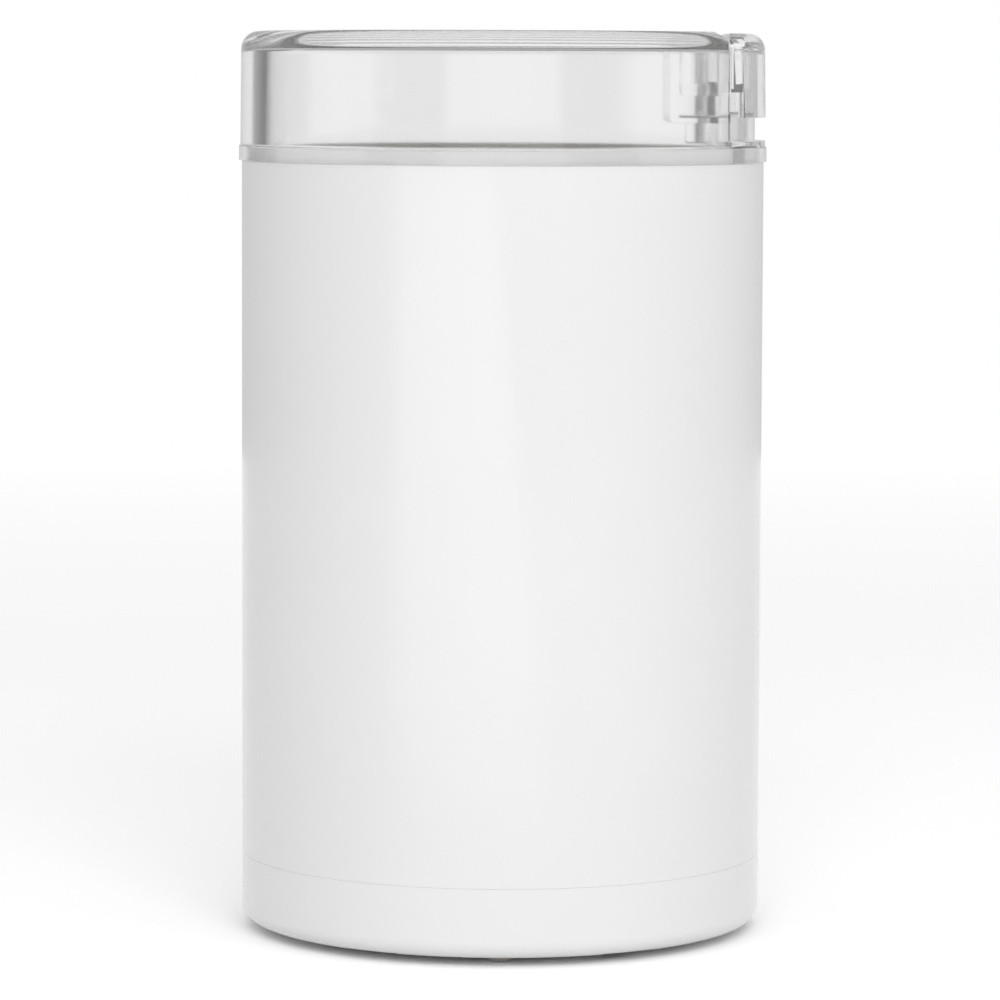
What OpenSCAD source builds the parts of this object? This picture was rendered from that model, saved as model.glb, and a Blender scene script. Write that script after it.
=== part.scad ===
// Electric blade grinder for spices: a round motor base with a steel bowl, a clear lid,
// and a push button in the lid that works the motor switch through a long rod.
// Millimetres. Z is up, the table is at z = 0, and the motor turns about the Z axis.
// The front faces -Y, the button is at +X, and the cord inlet is at the rear, +Y.

/* [Body] */
// Outside diameter of the housing and the base cover
body_d = 98; // [94:0.5:106]
// Wall thickness of the housing and the base cover
wall = 2.4; // [2:0.1:2.8]
// Height of the shoulder that the lid stands on, above the table
shoulder_z = 144.9; // [140:0.1:155]
// Height of the collar that centres the lid, above the shoulder
collar_h = 2.9; // [2.5:0.1:3.4]
// Thickness of the deck under the shoulder
deck_t = 2.5; // [2:0.1:3.5]
// Height of the base cover
base_h = 13; // [12:0.1:16]
// Thickness of the floor of the base cover
floor_t = 2.6; // [2.2:0.1:3.2]
// Radius of the rounded bottom edge of the base cover
base_round = 3; // [1.5:0.1:4]
// Radius of the edges on both sides of the seam
seam_round = 0.06; // [0.04:0.02:0.3]
// Radius of the edge of the shoulder
shoulder_round = 0.2; // [0.1:0.05:0.5]
// Hairline seam between the base cover and the housing
seam = 0.02; // [0.02:0.02:0.4]

/* [Feet] */
// Number of feet
foot_n = 6; // [3:1:6]
// Radius of a foot
foot_r = 2.45; // [2:0.05:3]
// Height that a foot stands out of the base
foot_h = 1.6; // [1.2:0.1:2.5]
// Distance of the feet from the axis
foot_ring_r = 40; // [38:0.1:41]
// Depth of the shallow air notches in the bottom rim
notch_h = 0.3; // [0.2:0.1:0.8]
// Angle that each air notch covers
notch_deg = 13.6; // [8:0.1:20]

/* [Lid] */
// Height of the lid
lid_h = 24.05; // [23:0.05:30]
// Wall thickness of the lid, above the collar
lid_wall = 4.7; // [3.5:0.1:5]
// Thickness of the thin foot of the lid wall, round the collar
skirt_wall = 1.2; // [1:0.1:1.6]
// Thickness of the top of the lid
lid_top_t = 3.2; // [2.4:0.1:3.6]
// Radius of the rounded top edge of the lid
lid_round = 3.3; // [2.5:0.1:4]
// How far the foot of the lid wall stands out past the body
lid_over = 0.3; // [0.2:0.05:0.5]
// Draft of the lid wall, from its foot to its top
lid_draft = 0.25; // [0.1:0.05:0.5]
// How far the lid flange stands out past the body
flange_over = 0.55; // [0.5:0.05:1]
// Height of the lid flange
flange_h = 2.8; // [2.2:0.1:3.2]

/* [Button] */
// Travel of the button
travel = 3.5; // [2:0.1:4]
// Height of the open gap under the skirt of the button
skirt_gap = 4.4; // [4.3:0.1:5]
// Wall thickness of the button
button_wall = 1.7; // [1.4:0.1:1.8]
// Thickness of the button top
button_top_t = 2; // [1.6:0.1:2.6]
// Width of the pocket in the lid that guides the button tongue
pocket_w = 18; // [14:0.5:24]
// Depth of the pocket below the top of the lid
pocket_drop = 16.85; // [15:0.05:17]
// Reach of the pocket from the button bay towards the axis
pocket_reach = 10.4; // [8:0.1:12]
// Thickness of the button tongue and of the hook at its end
tongue_t = 2.3; // [1.8:0.1:2.6]

/* [Push rod] */
// Radius of the rod
rod_r = 1.5; // [1.2:0.1:1.6]
// Radius of the rod head and of the button pin
head_r = 2.1; // [1.9:0.1:2.3]
// Radius of the collar that the spring pushes up
rod_collar_r = 2.6; // [2.5:0.05:2.8]
// Length of the rod spring at rest
spring_len = 14.3; // [12:0.1:18]
// Wire radius of the rod spring
spring_wire_r = 0.25; // [0.2:0.05:0.35]

/* [Bowl] */
// Depth of the bowl, outside
bowl_depth = 44.8; // [40:0.1:46]
// Sheet thickness of the bowl
bowl_t = 0.8; // [0.6:0.1:1]
// Radius of the bottom corner of the bowl, outside
bowl_round = 10; // [7:0.5:12]
// Width of the flat rim of the bowl
rim_w = 1.3; // [1.1:0.1:1.8]

/* [Blade] */
// Thickness of the blade
blade_t = 1.2; // [1:0.1:1.6]
// Gap between the blade tips and the bowl wall
tip_gap = 6.8; // [5:0.1:10]
// Width of a blade wing
wing_w = 12; // [9:0.5:13]
// Upward fold of one wing
fold_up = 18; // [8:1:25]
// Downward fold of the other wing
fold_down = 7; // [2:1:9]
// Skew of both fold lines, which gives the wings their pitch
fold_skew = 22; // [10:1:30]

/* [Motor] */
// Height of the stator stack
stack_h = 20; // [16:1:24]
// Length of the stator across the poles
stator_x = 60; // [58:1:62]
// Width of the stator
stator_y = 50; // [50:1:54]
// Radius of the rotor core
rotor_r = 16; // [14:0.5:17]
// Air gap between the rotor and the poles
air_gap = 0.5; // [0.4:0.1:0.8]
// Radius of the motor shaft
shaft_r = 3; // [2.5:0.1:3.2]
// Radius of the commutator
comm_r = 9; // [8:0.5:10]
// Length of the commutator bars
comm_len = 10.5; // [9:0.5:13]
// Number of rotor slots
slot_n = 12; // [10:1:12]
// Radius of the cooling fan
fan_r = 29; // [26:0.5:31]
// Height of the cooling fan
fan_h = 10; // [8:0.5:12]
// Number of fan blades
fan_n = 9; // [7:1:11]

/* [Hidden] */

$fn = 96;
// Gap between pieces that move past each other
clear = 0.3;
// Gap between pieces that are fitted together and stay
fit = 0.1;
// Radial running clearance of the shaft
slip = 0.03;
// Overrun of a cut past the face it opens
over = 1;

// Radii of the shells
body_r = body_d / 2;
inner_r = body_r - wall;
lid_r = body_r + lid_over;
lid_in_r = lid_r - lid_wall;
skirt_in_r = lid_r - skirt_wall;
collar_r = skirt_in_r - clear;
collar_round = 0.5;
flange_r = body_r + flange_over;

// Rod and button bay, worked inwards from the housing wall
rod_wall_gap = 0.35;
rod_boss_r = 3.3;
guide_w = 9;
rod_x = inner_r - rod_wall_gap - rod_collar_r;
bay_gap = 0.45;
bay_x = rod_x - head_r - bay_gap;
web = 0.7;
recess_r = bay_x - web;
rim_r = recess_r - 2 * fit;
well_r = rim_r - rim_w;
bowl_r = well_r - clear;

// Heights of the base, and the feet
base_z = foot_h;
foot_round = 1.1;
foot_stem_r = foot_r - 0.8;
foot_stem_h = 1.5;
floor_z = base_z + floor_t;
base_top = base_z + base_h;
housing_z = base_top + seam;
lip_t = 1.1;
lip_h = 3.6;
lip_root = 2;

// Heights of the deck and the lid
deck_under = shoulder_z - deck_t;
deck_top = shoulder_z + collar_h;
lid_z = shoulder_z + fit;
lid_top = lid_z + lid_h;
lid_under = lid_top - lid_top_t;
ledge_t = 1.3;
ledge_top = deck_top + clear + 0.8;
ledge_under = ledge_top - ledge_t;
curb_h = 5.3;
curb_top = ledge_top + curb_h;
curb_t = 1.1;
bay_slope = [2.7, 1.4];
bay_wall = 1.6;
lid_edge = 0.35;
flange_edge = 0.12;
lid_in_round = 0.8;

// Button
button_r = lid_r;
button_in_r = button_r - button_wall;
button_top = lid_top - 0.2;
button_under = button_top - button_top_t;
button_round = 3;
button_edge = 0.8;
skirt_z = ledge_top + skirt_gap;
button_wall_z = curb_top + travel + clear;
button_x = bay_x + clear;
pin_z = ledge_under;
tongue_drop = 9.3;
tongue_top = button_top - tongue_drop;
tongue_z = tongue_top - tongue_t;
hook_t = 1.6;
hook_top = lid_under - clear;
tongue_w = pocket_w - 5.6;
tongue_play = 0.6;
pocket_x = bay_x - pocket_reach;
pocket_wall = 1.8;
pocket_z = lid_top - pocket_drop;
pocket_floor = 1;
pocket_round = 1.2;
pocket_edge = 0.6;
post_d = [4, 4];
post_round = 0.6;
post_back = 2.6;
guide_r = 3.3;
// Foot of the curb, as points out from its face and up from the ledge
curb_foot = [[0.8, 0], [clear - fit, 0.6], [0, 2]];
post_z = deck_top + 2 * clear;

// Push rod, from its head down to its nose on the switch lever
head_top = pin_z - clear;
boss_z = deck_under - 4.1;
rod_collar_top = boss_z - clear;
rod_collar_t = 1.5;
spring_top = rod_collar_top - rod_collar_t - fit;
spring_low = spring_top - spring_len;
guide_top = spring_low - fit;
guide_t = 4;
spring_r = rod_collar_r - 0.15 - spring_wire_r;
nose_r = 2.5;
nose_y = 1;
nose_z = 48.5;
nose_w = 7.6;
nose_h = 3;

// Bowl, from its rim down
gasket_t = 0.6;
rim_z = deck_top - bowl_t;
recess_z = rim_z - gasket_t;
bowl_under = deck_top - bowl_depth;
bowl_floor = bowl_under + bowl_t;
rim_round = 1.2;
well_skirt_t = 1.6;
well_skirt_z = deck_under - 12;

// Motor mount and the neck that passes through the bowl
seal_t = 1;
hub_h = 6;
mount_t = 3.5;
mount_seat = bowl_under - seal_t;
mount_top = mount_seat - hub_h;
mount_under = mount_top - mount_t;
mount_r = inner_r - 0.4;
neck_r = 7.5;
neck_in_r = 5.2;
neck_ledge = 1;
mount_bore_r = shaft_r + 1.5;
mount_rib = [2, 9, 3];
mount_rib_n = 8;
neck_top = bowl_floor + 4.2;
bowl_hole_r = neck_r + fit;
washer_t = 1.2;
nut_h = 2.7;
nut_r = 11;
lip_seal_h = 3;
bush_h = 8;
press = 0.05;
press_in = 0.02;
hub_ring_r = [22, 25];
seal_r = 13;

// Screws and bosses
m3_r = 1.45;
m3_head_r = 2.8;
m3_head_h = 2.2;
cross = [3.4, 0.7, 1.2];
damper_t = 1.5;
mount_boss_r = 3.2;
mount_boss_ring = inner_r - 3.6;
mount_boss_h = 14;
mount_boss_z = mount_top + damper_t;
mount_screw_len = 9;
base_boss_r = 3.8;
base_boss_inset = 6.6;
base_boss_ring = inner_r - base_boss_inset;
base_boss_h = 24;
boss_root_z = housing_z + lip_root / 2;
standoff_r = base_boss_r + 0.4;
standoff_drop = 2.2;
standoff_top = base_top - standoff_drop;
standoff_cap = 3;
base_screw_n = 3;
base_screw_a = 60;
base_screw_len = 14;

// Motor, from the upper bracket down to the fan
bracket_t = 3;
post_h = 9;
bracket_under = mount_under - bracket_t;
stack_top = bracket_under - post_h;
stack_low = stack_top - stack_h;
rotor_over = 1;
end_turn = 3.4;
rotor_top = stack_top + rotor_over;
rotor_low = stack_low - rotor_over;
comm_gap = 1.1;
comm_top = rotor_low - end_turn - comm_gap;
comm_low = comm_top - comm_len;
bearing_out = 2;
washer_h = 1;
hub_foot = 1.7;
hub_head = 0.8;
comm_hub_low = comm_low - hub_foot;
plate_top = comm_hub_low - washer_h - clear - bearing_out;
plate_t = 3.5;
plate_under = plate_top - plate_t;
fan_gap = 4.5;
fan_top = plate_under - fan_gap;
fan_low = fan_top - fan_h;
shaft_tail = 3;
shaft_low = fan_low - shaft_tail;
fan_plate_t = 1.5;
fan_hub = [6, 1.5];
fan_eye_r = 9;
fan_blade_t = 1.4;
fan_rim = 0.5;
frame_round = 8;
bolt_inset = [5.5, 5.5];
bolt_at = [stator_x / 2 - bolt_inset[0], stator_y / 2 - bolt_inset[1]];
bolt_r = 1.6;
post_r = 4;
window_r = 24;
pole_half = 8;
pole_tip_t = 2.5;
pole_deg = 56;
bore_r = rotor_r + air_gap;
coil_gap = 0.4;
coil_over = 5;
coil_round = 1.4;
bearing_r = 5.4;
bearing_boss_r = 8;
bearing_h = 7.5;
upper_bearing_h = 6;
upper_boss_h = 3.3;
lower_boss_h = 2.5;
lower_boss_out = 1.5;
slot_r = 2.5;
slot_mouth = 1.4;
slot_depth = 4.2;
slot_at = rotor_r - slot_depth;
winding_gap = 3.6;
winding_inset = 1;
bar_t = 3.2;
bar_hub_r = comm_r - bar_t;
bar_gap = 0.6;
riser = 1.2;
bracket_screw_y = 20;
bracket_boss_r = 3.4;
window_ring = [12, 25];
window_deg = 44;
washer_r = 5;

// Brush gear
brush = [5, 12, 6];
brush_gap = 0.1;
brush_z = comm_low + comm_len / 2;
holder_wall = 0.9;
holder_gap = 2.5;
holder_y = comm_r + holder_gap;
holder_len = 14;
brush_cap = [9, 1.5, 10];
brush_coil = [1.8, 0.2];
pedestal_y = [14, 23];
pedestal_w = 10;

// Blade stack on the shaft
spacer_z = neck_top + clear;
spacer_h = 2.2;
spacer_r = 5;
blade_z = spacer_z + spacer_h;
blade_r = bowl_r - bowl_t - tip_gap;
blade_hub_r = 8.5;
fold_x = 10;
blade_nut_r = 6.2;
blade_nut_h = 3.2;
dome_h = 3;
stub_r = 2.4;
stub_h = 4.4;
flats = 4.4;
bevel = 2;
bevel_at = 0.3 * blade_t;
sweep_r = 45;
sweep_at = [6, wing_w * 0.55 - sweep_r];
fold_r = 2.5;

// Switch, worked from the nose of the rod
lever_t = 0.8;
lever_w = 4.2;
lever_len = 15;
lever_reach = 12;
lever_rest = 17.5;
lever_x = rod_x - 3.95;
lever_y = nose_y - lever_reach;
lever_z = nose_z - (nose_r + lever_t / 2 + clear + lever_reach * sin(lever_rest))
    / cos(lever_rest);
lever_eye_r = 1.3;
lever_pin_r = 0.6;
switch_size = [6.4, 20, 10.4];
switch_top = lever_z - 2;
switch_y = lever_y - 1.8;
ear_t = 0.8;
ear_r = 1.6;
button_pin_r = 1;
button_pin_y = lever_y + 4;
button_pin_top = switch_top + 2.05;
button_pin_h = 3.4;
terminal = [0.8, 4.8, 7];
terminal_y = [3, 15];
terminal_hole = [0.9, 2.4];
switch_screw_r = 1;
switch_head = [2, 1.2];
switch_hole_y = [3, switch_size[1] - 4];
switch_hole_z = 2.5;
pad_gap = 0.05;
pad_over = [1, 2];

// Cord gland at the rear
gland_z = base_z + 7;
gland_bore_r = 2.2;
gland_neck_r = 3.2;
gland_flange_r = 4.2;
gland_face = body_r - 1.1;
gland_pad = inner_r - 0.7;
gland_flange_t = 1.2;
gland_pad_w = 12;
gland_gap_w = 14;

// Ring wall in the base, worked inwards from the housing wall
baffle_inset = 12;
baffle_t = 1.6;
baffle_r = [inner_r - baffle_inset - baffle_t, inner_r - baffle_inset];
vent_margin = 6;

// Suppression capacitor, held between two low walls
cap_size = [7, 16, 12];
cap_back = 1.4;
cap_r = baffle_r[1] + cap_back;
cap_a = 215;
cap_round = 0.8;
cap_gap = 0.2;
cap_wall = [1.4, 6];

// Base notches and vents
notch_n = 6;
notch_w = 5;
vent_n = 18;
vent_w = 2.2;
vent_round = 0.8;
vent_r = [11, baffle_r[0] - vent_margin];
baffle_h = 11;

// Shared shapes
module disc(r, z0, z1) { translate([0, 0, z0]) cylinder(r = r, h = z1 - z0); }

module ring(r_in, r_out, z0, z1) {
    difference() {
        disc(r_out, z0, z1);
        disc(r_in, z0 - over, z1 + over);
    }
}

module slab(x, y, z) { translate([x[0], y[0], z[0]]) cube([x[1] - x[0], y[1] - y[0], z[1] - z[0]]); }

module around(n, r, start = 0) {
    for (i = [0:n - 1]) rotate([0, 0, start + i * 360 / n]) translate([r, 0, 0]) children();
}

module corners(p) { for (x = [-p[0], p[0]], y = [-p[1], p[1]]) translate([x, y, 0]) children(); }

// Rectangle with round corners, centred
module pad2d(x, y, r) {
    square([x - 2 * r, y], center = true);
    square([x, y - 2 * r], center = true);
    corners([x / 2 - r, y / 2 - r]) circle(r = r);
}

// Rectangle with round corners, from its own corner, for a revolve
module block2d(x, z, r) {
    translate([(x[0] + x[1]) / 2, (z[0] + z[1]) / 2]) pad2d(x[1] - x[0], z[1] - z[0], r);
}

// Solid of a cup turned upside down: tapered side, flat top and a round top edge
module dome(r_low, r_top, z0, z1, round) {
    rotate_extrude() {
        polygon([[0, z0], [r_low, z0], [r_top, z1 - round], [0, z1 - round]]);
        square_to(r_top - round, z1 - round - over, z1);
        intersection() {
            translate([r_top - round, z1 - round]) circle(r = round);
            square_to(r_top + round, z1 - round, z1 + round);
        }
    }
}

module square_to(r, z0, z1) { translate([0, z0]) square([r, z1 - z0]); }

// Upright solid with a round bottom edge and a round top edge
module drum(r, z0, z1, low, high) {
    rotate_extrude() {
        square_to(r - low, z0, z0 + 2 * low);
        square_to(r, z0 + low, z1 - high);
        square_to(r - high, z1 - 2 * high, z1);
        intersection() {
            translate([r - low, z0 + low]) circle(r = low);
            square_to(r + low, z0 - low, z0 + low);
        }
        intersection() {
            translate([r - high, z1 - high]) circle(r = high);
            square_to(r + high, z1 - high, z1 + high);
        }
    }
}

// Upright solid with a flat bottom and a round bottom edge
module tub(r, z0, z1, round) {
    rotate_extrude() {
        square_to(r - round, z0, z1);
        square_to(r, z0 + round, z1);
        intersection() {
            translate([r - round, z0 + round]) circle(r = round);
            square_to(r + round, z0, z0 + 2 * round);
        }
    }
}

// Pan head screw that points up, with its head bearing on z and a cross in the head
module screw(r, len, z) {
    difference() {
        union() {
            disc(m3_head_r, z - m3_head_h, z);
            disc(r, z - fit, z + len);
        }
        for (a = [0, 90]) rotate([0, 0, a]) slab([-cross[0] / 2, cross[0] / 2],
            [-cross[1] / 2, cross[1] / 2], [z - m3_head_h - over, z - m3_head_h + cross[2]]);
    }
}

// One point ring of a coil spring, for every step along its turns
function coil_ring(r, wire, sides, a, z, pitch) = let (
    t = [-sin(a) * r, cos(a) * r, pitch / (2 * PI)],
    u = [cos(a), sin(a), 0],
    n = t / norm(t),
    b = cross(n, u)
) [for (k = [0:sides - 1]) [r * cos(a), r * sin(a), z]
    + wire * (cos(360 * k / sides) * u + sin(360 * k / sides) * b)];

// Coil spring along Z, between two heights
module coil(r, wire, z0, z1, turns, sides = 8, steps = 18) {
    n = turns * steps;
    pitch = (z1 - z0 - 2 * wire) / turns;
    pts = [for (i = [0:n]) each
        coil_ring(r, wire, sides, 360 * i / steps, z0 + wire + pitch * i / steps, pitch)];
    skin = [for (i = [0:n - 1], k = [0:sides - 1]) let (m = (k + 1) % sides)
        [i * sides + k, i * sides + m, (i + 1) * sides + m, (i + 1) * sides + k]];
    ends = [[for (k = [sides - 1:-1:0]) k], [for (k = [0:sides - 1]) n * sides + k]];
    polyhedron(points = pts, faces = concat(skin, ends), convexity = 10);
}

// Upright boss that grows out of the housing wall
module wall_boss(ring_r, r, z0, z1, hole_r, depth) {
    difference() {
        intersection() {
            union() {
                translate([ring_r, 0, 0]) disc(r, z0, z1);
                slab([ring_r, body_r], [-r * 0.6, r * 0.6], [max(z0, boss_root_z), z1]);
            }
            disc(inner_r + wall / 2, z0 - over, z1 + over);
        }
        translate([ring_r, 0, 0]) disc(hole_r, z0 - over, z0 + depth);
    }
}

// Shelf on the housing wall that guides the push rod
module rod_guide(x0, z0, z1) {
    intersection() {
        slab([x0, body_r], [-guide_w / 2, guide_w / 2], [z0, z1]);
        disc(inner_r + wall / 2, z0 - over, z1 + over);
    }
}

// Housing: a straight round shell, its deck, and what is moulded inside
module housing() {
    color("white") difference() {
        union() {
            difference() {
                union() {
                    drum(body_r, housing_z, shoulder_z, seam_round, shoulder_round);
                    drum(collar_r, shoulder_z - 2 * over, deck_top, collar_round, collar_round);
                }
                disc(inner_r, housing_z - over, deck_under);
                disc(well_r, deck_under - over, deck_top + over);
            }
            ring(well_r, well_r + well_skirt_t, well_skirt_z, deck_under + over);
            // Lip that reaches down into the base cover
            ring(inner_r - clear - lip_t, inner_r + wall / 2, housing_z, housing_z + lip_root);
            ring(inner_r - clear - lip_t, inner_r - clear, housing_z - lip_h, housing_z + over);
            intersection() {
                translate([rod_x, 0, 0]) disc(rod_boss_r, boss_z, deck_under + over);
                disc(inner_r + wall / 2, boss_z - over, deck_under + 2 * over);
            }
            rod_guide(well_r + 1.5, guide_top - guide_t, guide_top);
            rod_guide(well_r - 1, stack_low - guide_t, stack_low);
            around(4, 0, 45)
                wall_boss(mount_boss_ring, mount_boss_r, mount_boss_z,
                    mount_boss_z + mount_boss_h, m3_r + fit, mount_screw_len);
            around(base_screw_n, 0, base_screw_a)
                wall_boss(base_boss_ring, base_boss_r, standoff_top + fit,
                    standoff_top + base_boss_h, m3_r + fit, base_screw_len);
            switch_pad();
        }
        ring(well_r - over, recess_r, recess_z, deck_top + over);
        slab([button_x, body_d], [-body_r, body_r], [shoulder_z, deck_top + over]);
        translate([rod_x, 0, 0]) disc(head_r + fit, boss_z - over, deck_top + over);
        translate([rod_x, 0, 0]) disc(rod_r + fit, stack_low - guide_t - over, guide_top + over);
        for (p = switch_holes()) translate([0, p[0], p[1]]) rotate([0, 90, 0])
            translate([0, 0, lever_x]) cylinder(r = switch_screw_r, h = body_r - wall * 0.6 - lever_x);
        // Gap in the lip for the cord gland
        slab([-gland_gap_w / 2, gland_gap_w / 2], [gland_pad - 4, inner_r + wall / 2],
            [housing_z - lip_h - over, housing_z]);
    }
}

// Pad on the housing wall that the switch is screwed to
module switch_pad() {
    intersection() {
        slab([switch_x1() + pad_gap, body_r], [switch_y - pad_over[0], switch_y + switch_size[1]],
            [switch_top - switch_size[2] - pad_over[1], switch_top]);
        disc(inner_r + wall / 2, 0, switch_top + over);
    }
}

// Outer face of the switch, and its two screw places as [y, z]
function switch_x1() = lever_x + switch_size[0] / 2;
function switch_holes() = [for (y = switch_hole_y)
    [switch_y + y, switch_top - switch_size[2] + switch_hole_z]];

// Base cover: a shallow tub with vents, standoffs, foot sockets and the cord hole
module base_cover() {
    color("white") difference() {
        union() {
            difference() {
                drum(body_r, base_z, base_top, base_round, seam_round);
                tub(inner_r, floor_z, base_top + over, base_round - wall / 2);
            }
            ring(baffle_r[0], baffle_r[1], floor_z - over, floor_z + baffle_h);
            around(base_screw_n, base_boss_ring, base_screw_a)
                disc(standoff_r, floor_z - over, standoff_top);
            intersection() {
                slab([-gland_pad_w / 2, gland_pad_w / 2], [gland_pad, inner_r + over],
                    [floor_z - over, base_top - fit]);
                disc(body_r - wall / 2, floor_z - over, base_top);
            }
            capacitor_walls();
        }
        vents();
        around(base_screw_n, base_boss_ring, base_screw_a) {
            disc(m3_head_r + 2 * fit, base_z - over, standoff_top - standoff_cap);
            disc(m3_r + 2 * fit, base_z, standoff_top + over);
        }
        around(foot_n, foot_ring_r, -90)
            disc(foot_stem_r + fit, base_z - over, base_z + foot_stem_h + fit);
        around(notch_n, 0, -notch_deg / 2) rotate_extrude(angle = notch_deg)
            translate([body_r - notch_w, base_z - over]) square([notch_w + over, notch_h + over]);
        rotate([-90, 0, 0]) translate([0, -gland_z, 0]) {
            translate([0, 0, gland_pad - 2]) cylinder(r = gland_neck_r + fit, h = 9);
            translate([0, 0, gland_face]) cylinder(r = gland_flange_r + fit, h = 9);
        }
    }
}

// Radial air slots under the fan
module vents() {
    translate([0, 0, base_z - over]) linear_extrude(floor_t + 2 * over)
        around(vent_n, 0, 180 / vent_n) translate([(vent_r[0] + vent_r[1]) / 2, 0])
            pad2d(vent_r[1] - vent_r[0] + vent_w, vent_w, vent_round);
}

// Six soft nubs, each with a flat to stand on and a stem in the base
module feet() {
    color("gainsboro") around(foot_n, foot_ring_r, -90) {
        rotate_extrude() {
            square_to(foot_r - foot_round, 0, base_z);
            square_to(foot_r, foot_round, base_z);
            intersection() {
                translate([foot_r - foot_round, foot_round]) circle(r = foot_round);
                square_to(foot_r, 0, foot_round + fit);
            }
        }
        disc(foot_stem_r, base_z - fit, base_z + foot_stem_h);
    }
}

module base_screws() {
    color("silver") around(base_screw_n, base_boss_ring, base_screw_a)
        screw(m3_r, base_screw_len, standoff_top - standoff_cap);
}

// Rubber bush in the cord hole
module cord_gland() {
    color("lightgray") translate([0, 0, gland_z]) rotate([-90, 0, 0]) difference() {
        union() {
            disc(gland_flange_r, gland_face + fit, gland_face + gland_flange_t);
            disc(gland_neck_r, gland_pad - 2 * fit, gland_face + 2 * fit);
            disc(gland_flange_r - 0.3, gland_pad - fit - gland_flange_t, gland_pad - fit);
        }
        disc(gland_bore_r, gland_pad - 4, body_r + over);
    }
}

// Suppression capacitor between two low walls on the base floor
module capacitor() {
    color("gold") rotate([0, 0, cap_a]) translate([cap_r + cap_size[0] / 2, 0, floor_z + fit])
        linear_extrude(cap_size[2]) pad2d(cap_size[0], cap_size[1], cap_round);
}

module capacitor_walls() {
    y = cap_size[1] / 2 + cap_gap;
    rotate([0, 0, cap_a]) for (y0 = [y, -y - cap_wall[0]])
        slab([cap_r, cap_r + cap_size[0]], [y0, y0 + cap_wall[0]], [floor_z - over, floor_z + cap_wall[1]]);
}

// Deep drawn bowl with a flat rim and a hole for the neck of the mount
module grinding_bowl() {
    color("silver") difference() {
        union() {
            tub(bowl_r, bowl_under, deck_top - bowl_t / 2, bowl_round);
            disc(rim_r, rim_z, deck_top);
        }
        tub(bowl_r - bowl_t, bowl_floor, deck_top + over, bowl_round - bowl_t);
        disc(bowl_hole_r, bowl_under - over, bowl_floor + over);
        rotate_extrude() difference() {
            square_to(bowl_r, deck_top - rim_round, deck_top + over);
            translate([bowl_r + bowl_t / 2, deck_top - rim_round]) circle(r = rim_round);
        }
    }
}

module bowl_gasket() { color("dimgray") ring(well_r + press, recess_r - fit, recess_z, rim_z); }

module bowl_seal() { color("dimgray") ring(bowl_hole_r + fit, seal_r, mount_seat, bowl_under); }

module nut_washer() { color("dimgray") ring(neck_r + fit, nut_r * 0.95, bowl_floor, bowl_floor + washer_t); }

// Flat hexagon nut that clamps the bowl on the neck
module bowl_nut() {
    z0 = bowl_floor + washer_t;
    color("lightgray") difference() {
        intersection() {
            translate([0, 0, z0]) cylinder(r = nut_r, h = nut_h, $fn = 6);
            dome(nut_r * 1.1, nut_r * 0.96, z0, z0 + nut_h, nut_h / 2);
        }
        disc(neck_r + fit, z0 - over, z0 + nut_h + over);
    }
}

module shaft_seal() {
    color("black") difference() {
        ring(shaft_r + slip, neck_in_r - press, neck_top - lip_seal_h, neck_top);
        ring(shaft_r + 2 * clear, neck_in_r - 3 * clear, neck_top - lip_seal_h - over, neck_top - 1);
    }
}

module top_bush() {
    z0 = mount_top + neck_ledge;
    color("goldenrod") ring(shaft_r + slip, neck_in_r - press, z0, z0 + bush_h);
}

// Moulded plate that carries the motor and the bowl
module motor_mount() {
    color("whitesmoke") difference() {
        union() {
            disc(mount_r, mount_under, mount_top);
            ring(hub_ring_r[0], hub_ring_r[1], mount_top - over, mount_seat);
            disc(seal_r, mount_top - over, mount_seat);
            disc(neck_r, mount_seat - over, neck_top);
            around(mount_rib_n, 0, 180 / mount_rib_n) slab([neck_r, hub_ring_r[1] + mount_rib[1]],
                [-mount_rib[0] / 2, mount_rib[0] / 2], [mount_top - over, mount_top + mount_rib[2]]);
        }
        disc(neck_in_r, mount_top + neck_ledge, neck_top + over);
        disc(mount_bore_r, mount_under - over, neck_top);
        around(4, mount_boss_ring, 45) disc(m3_r + 2 * fit, mount_under - over, mount_top + over);
        for (s = [-1, 1]) translate([0, s * bracket_screw_y, 0])
            disc(m3_r + fit, mount_under - over, mount_top + over);
        slab([rod_x - rod_r - 3 * clear, body_r], [-guide_w / 2, guide_w / 2],
            [mount_under - over, mount_top + over]);
        for (s = [-1, 1]) translate([0, s * bracket_screw_y, 0])
            disc(m3_head_r + 3 * fit, mount_top, mount_seat + over);
    }
}

module mount_dampers() {
    color("dimgray") around(4, mount_boss_ring, 45) ring(m3_r + fit, mount_boss_r, mount_top, mount_boss_z);
}

module mount_screws() {
    color("silver") around(4, mount_boss_ring, 45) screw(m3_r, mount_screw_len, mount_under);
}

// Die-cast bridge with the upper bearing
module upper_bracket() {
    color("silver") difference() {
        union() {
            translate([0, 0, bracket_under]) linear_extrude(bracket_t) pad2d(stator_x, stator_y, frame_round);
            corners(bolt_at) disc(post_r, stack_top, bracket_under + over);
            disc(bearing_boss_r, bracket_under - upper_boss_h, mount_under);
            for (s = [-1, 1]) translate([0, s * bracket_screw_y, 0])
                disc(bracket_boss_r, bracket_under - upper_boss_h, mount_under);
        }
        disc(bearing_r + press, bracket_under - upper_boss_h - over, mount_under + over);
        corners(bolt_at) disc(bolt_r + press, stack_top - over, bracket_under + 1);
        for (s = [-1, 1]) translate([0, s * bracket_screw_y, 0])
            disc(m3_r + press, bracket_under - upper_boss_h - over, mount_under + over);
        bracket_windows(bracket_under, mount_under);
    }
}

// Air windows in a bracket plate, between its bosses
module bracket_windows(z0, z1) {
    for (a = [0, 180]) rotate([0, 0, a - window_deg / 2]) translate([0, 0, z0 - over])
        rotate_extrude(angle = window_deg) block2d(window_ring, [0, z1 - z0 + 2 * over], over - fit);
}

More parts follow.
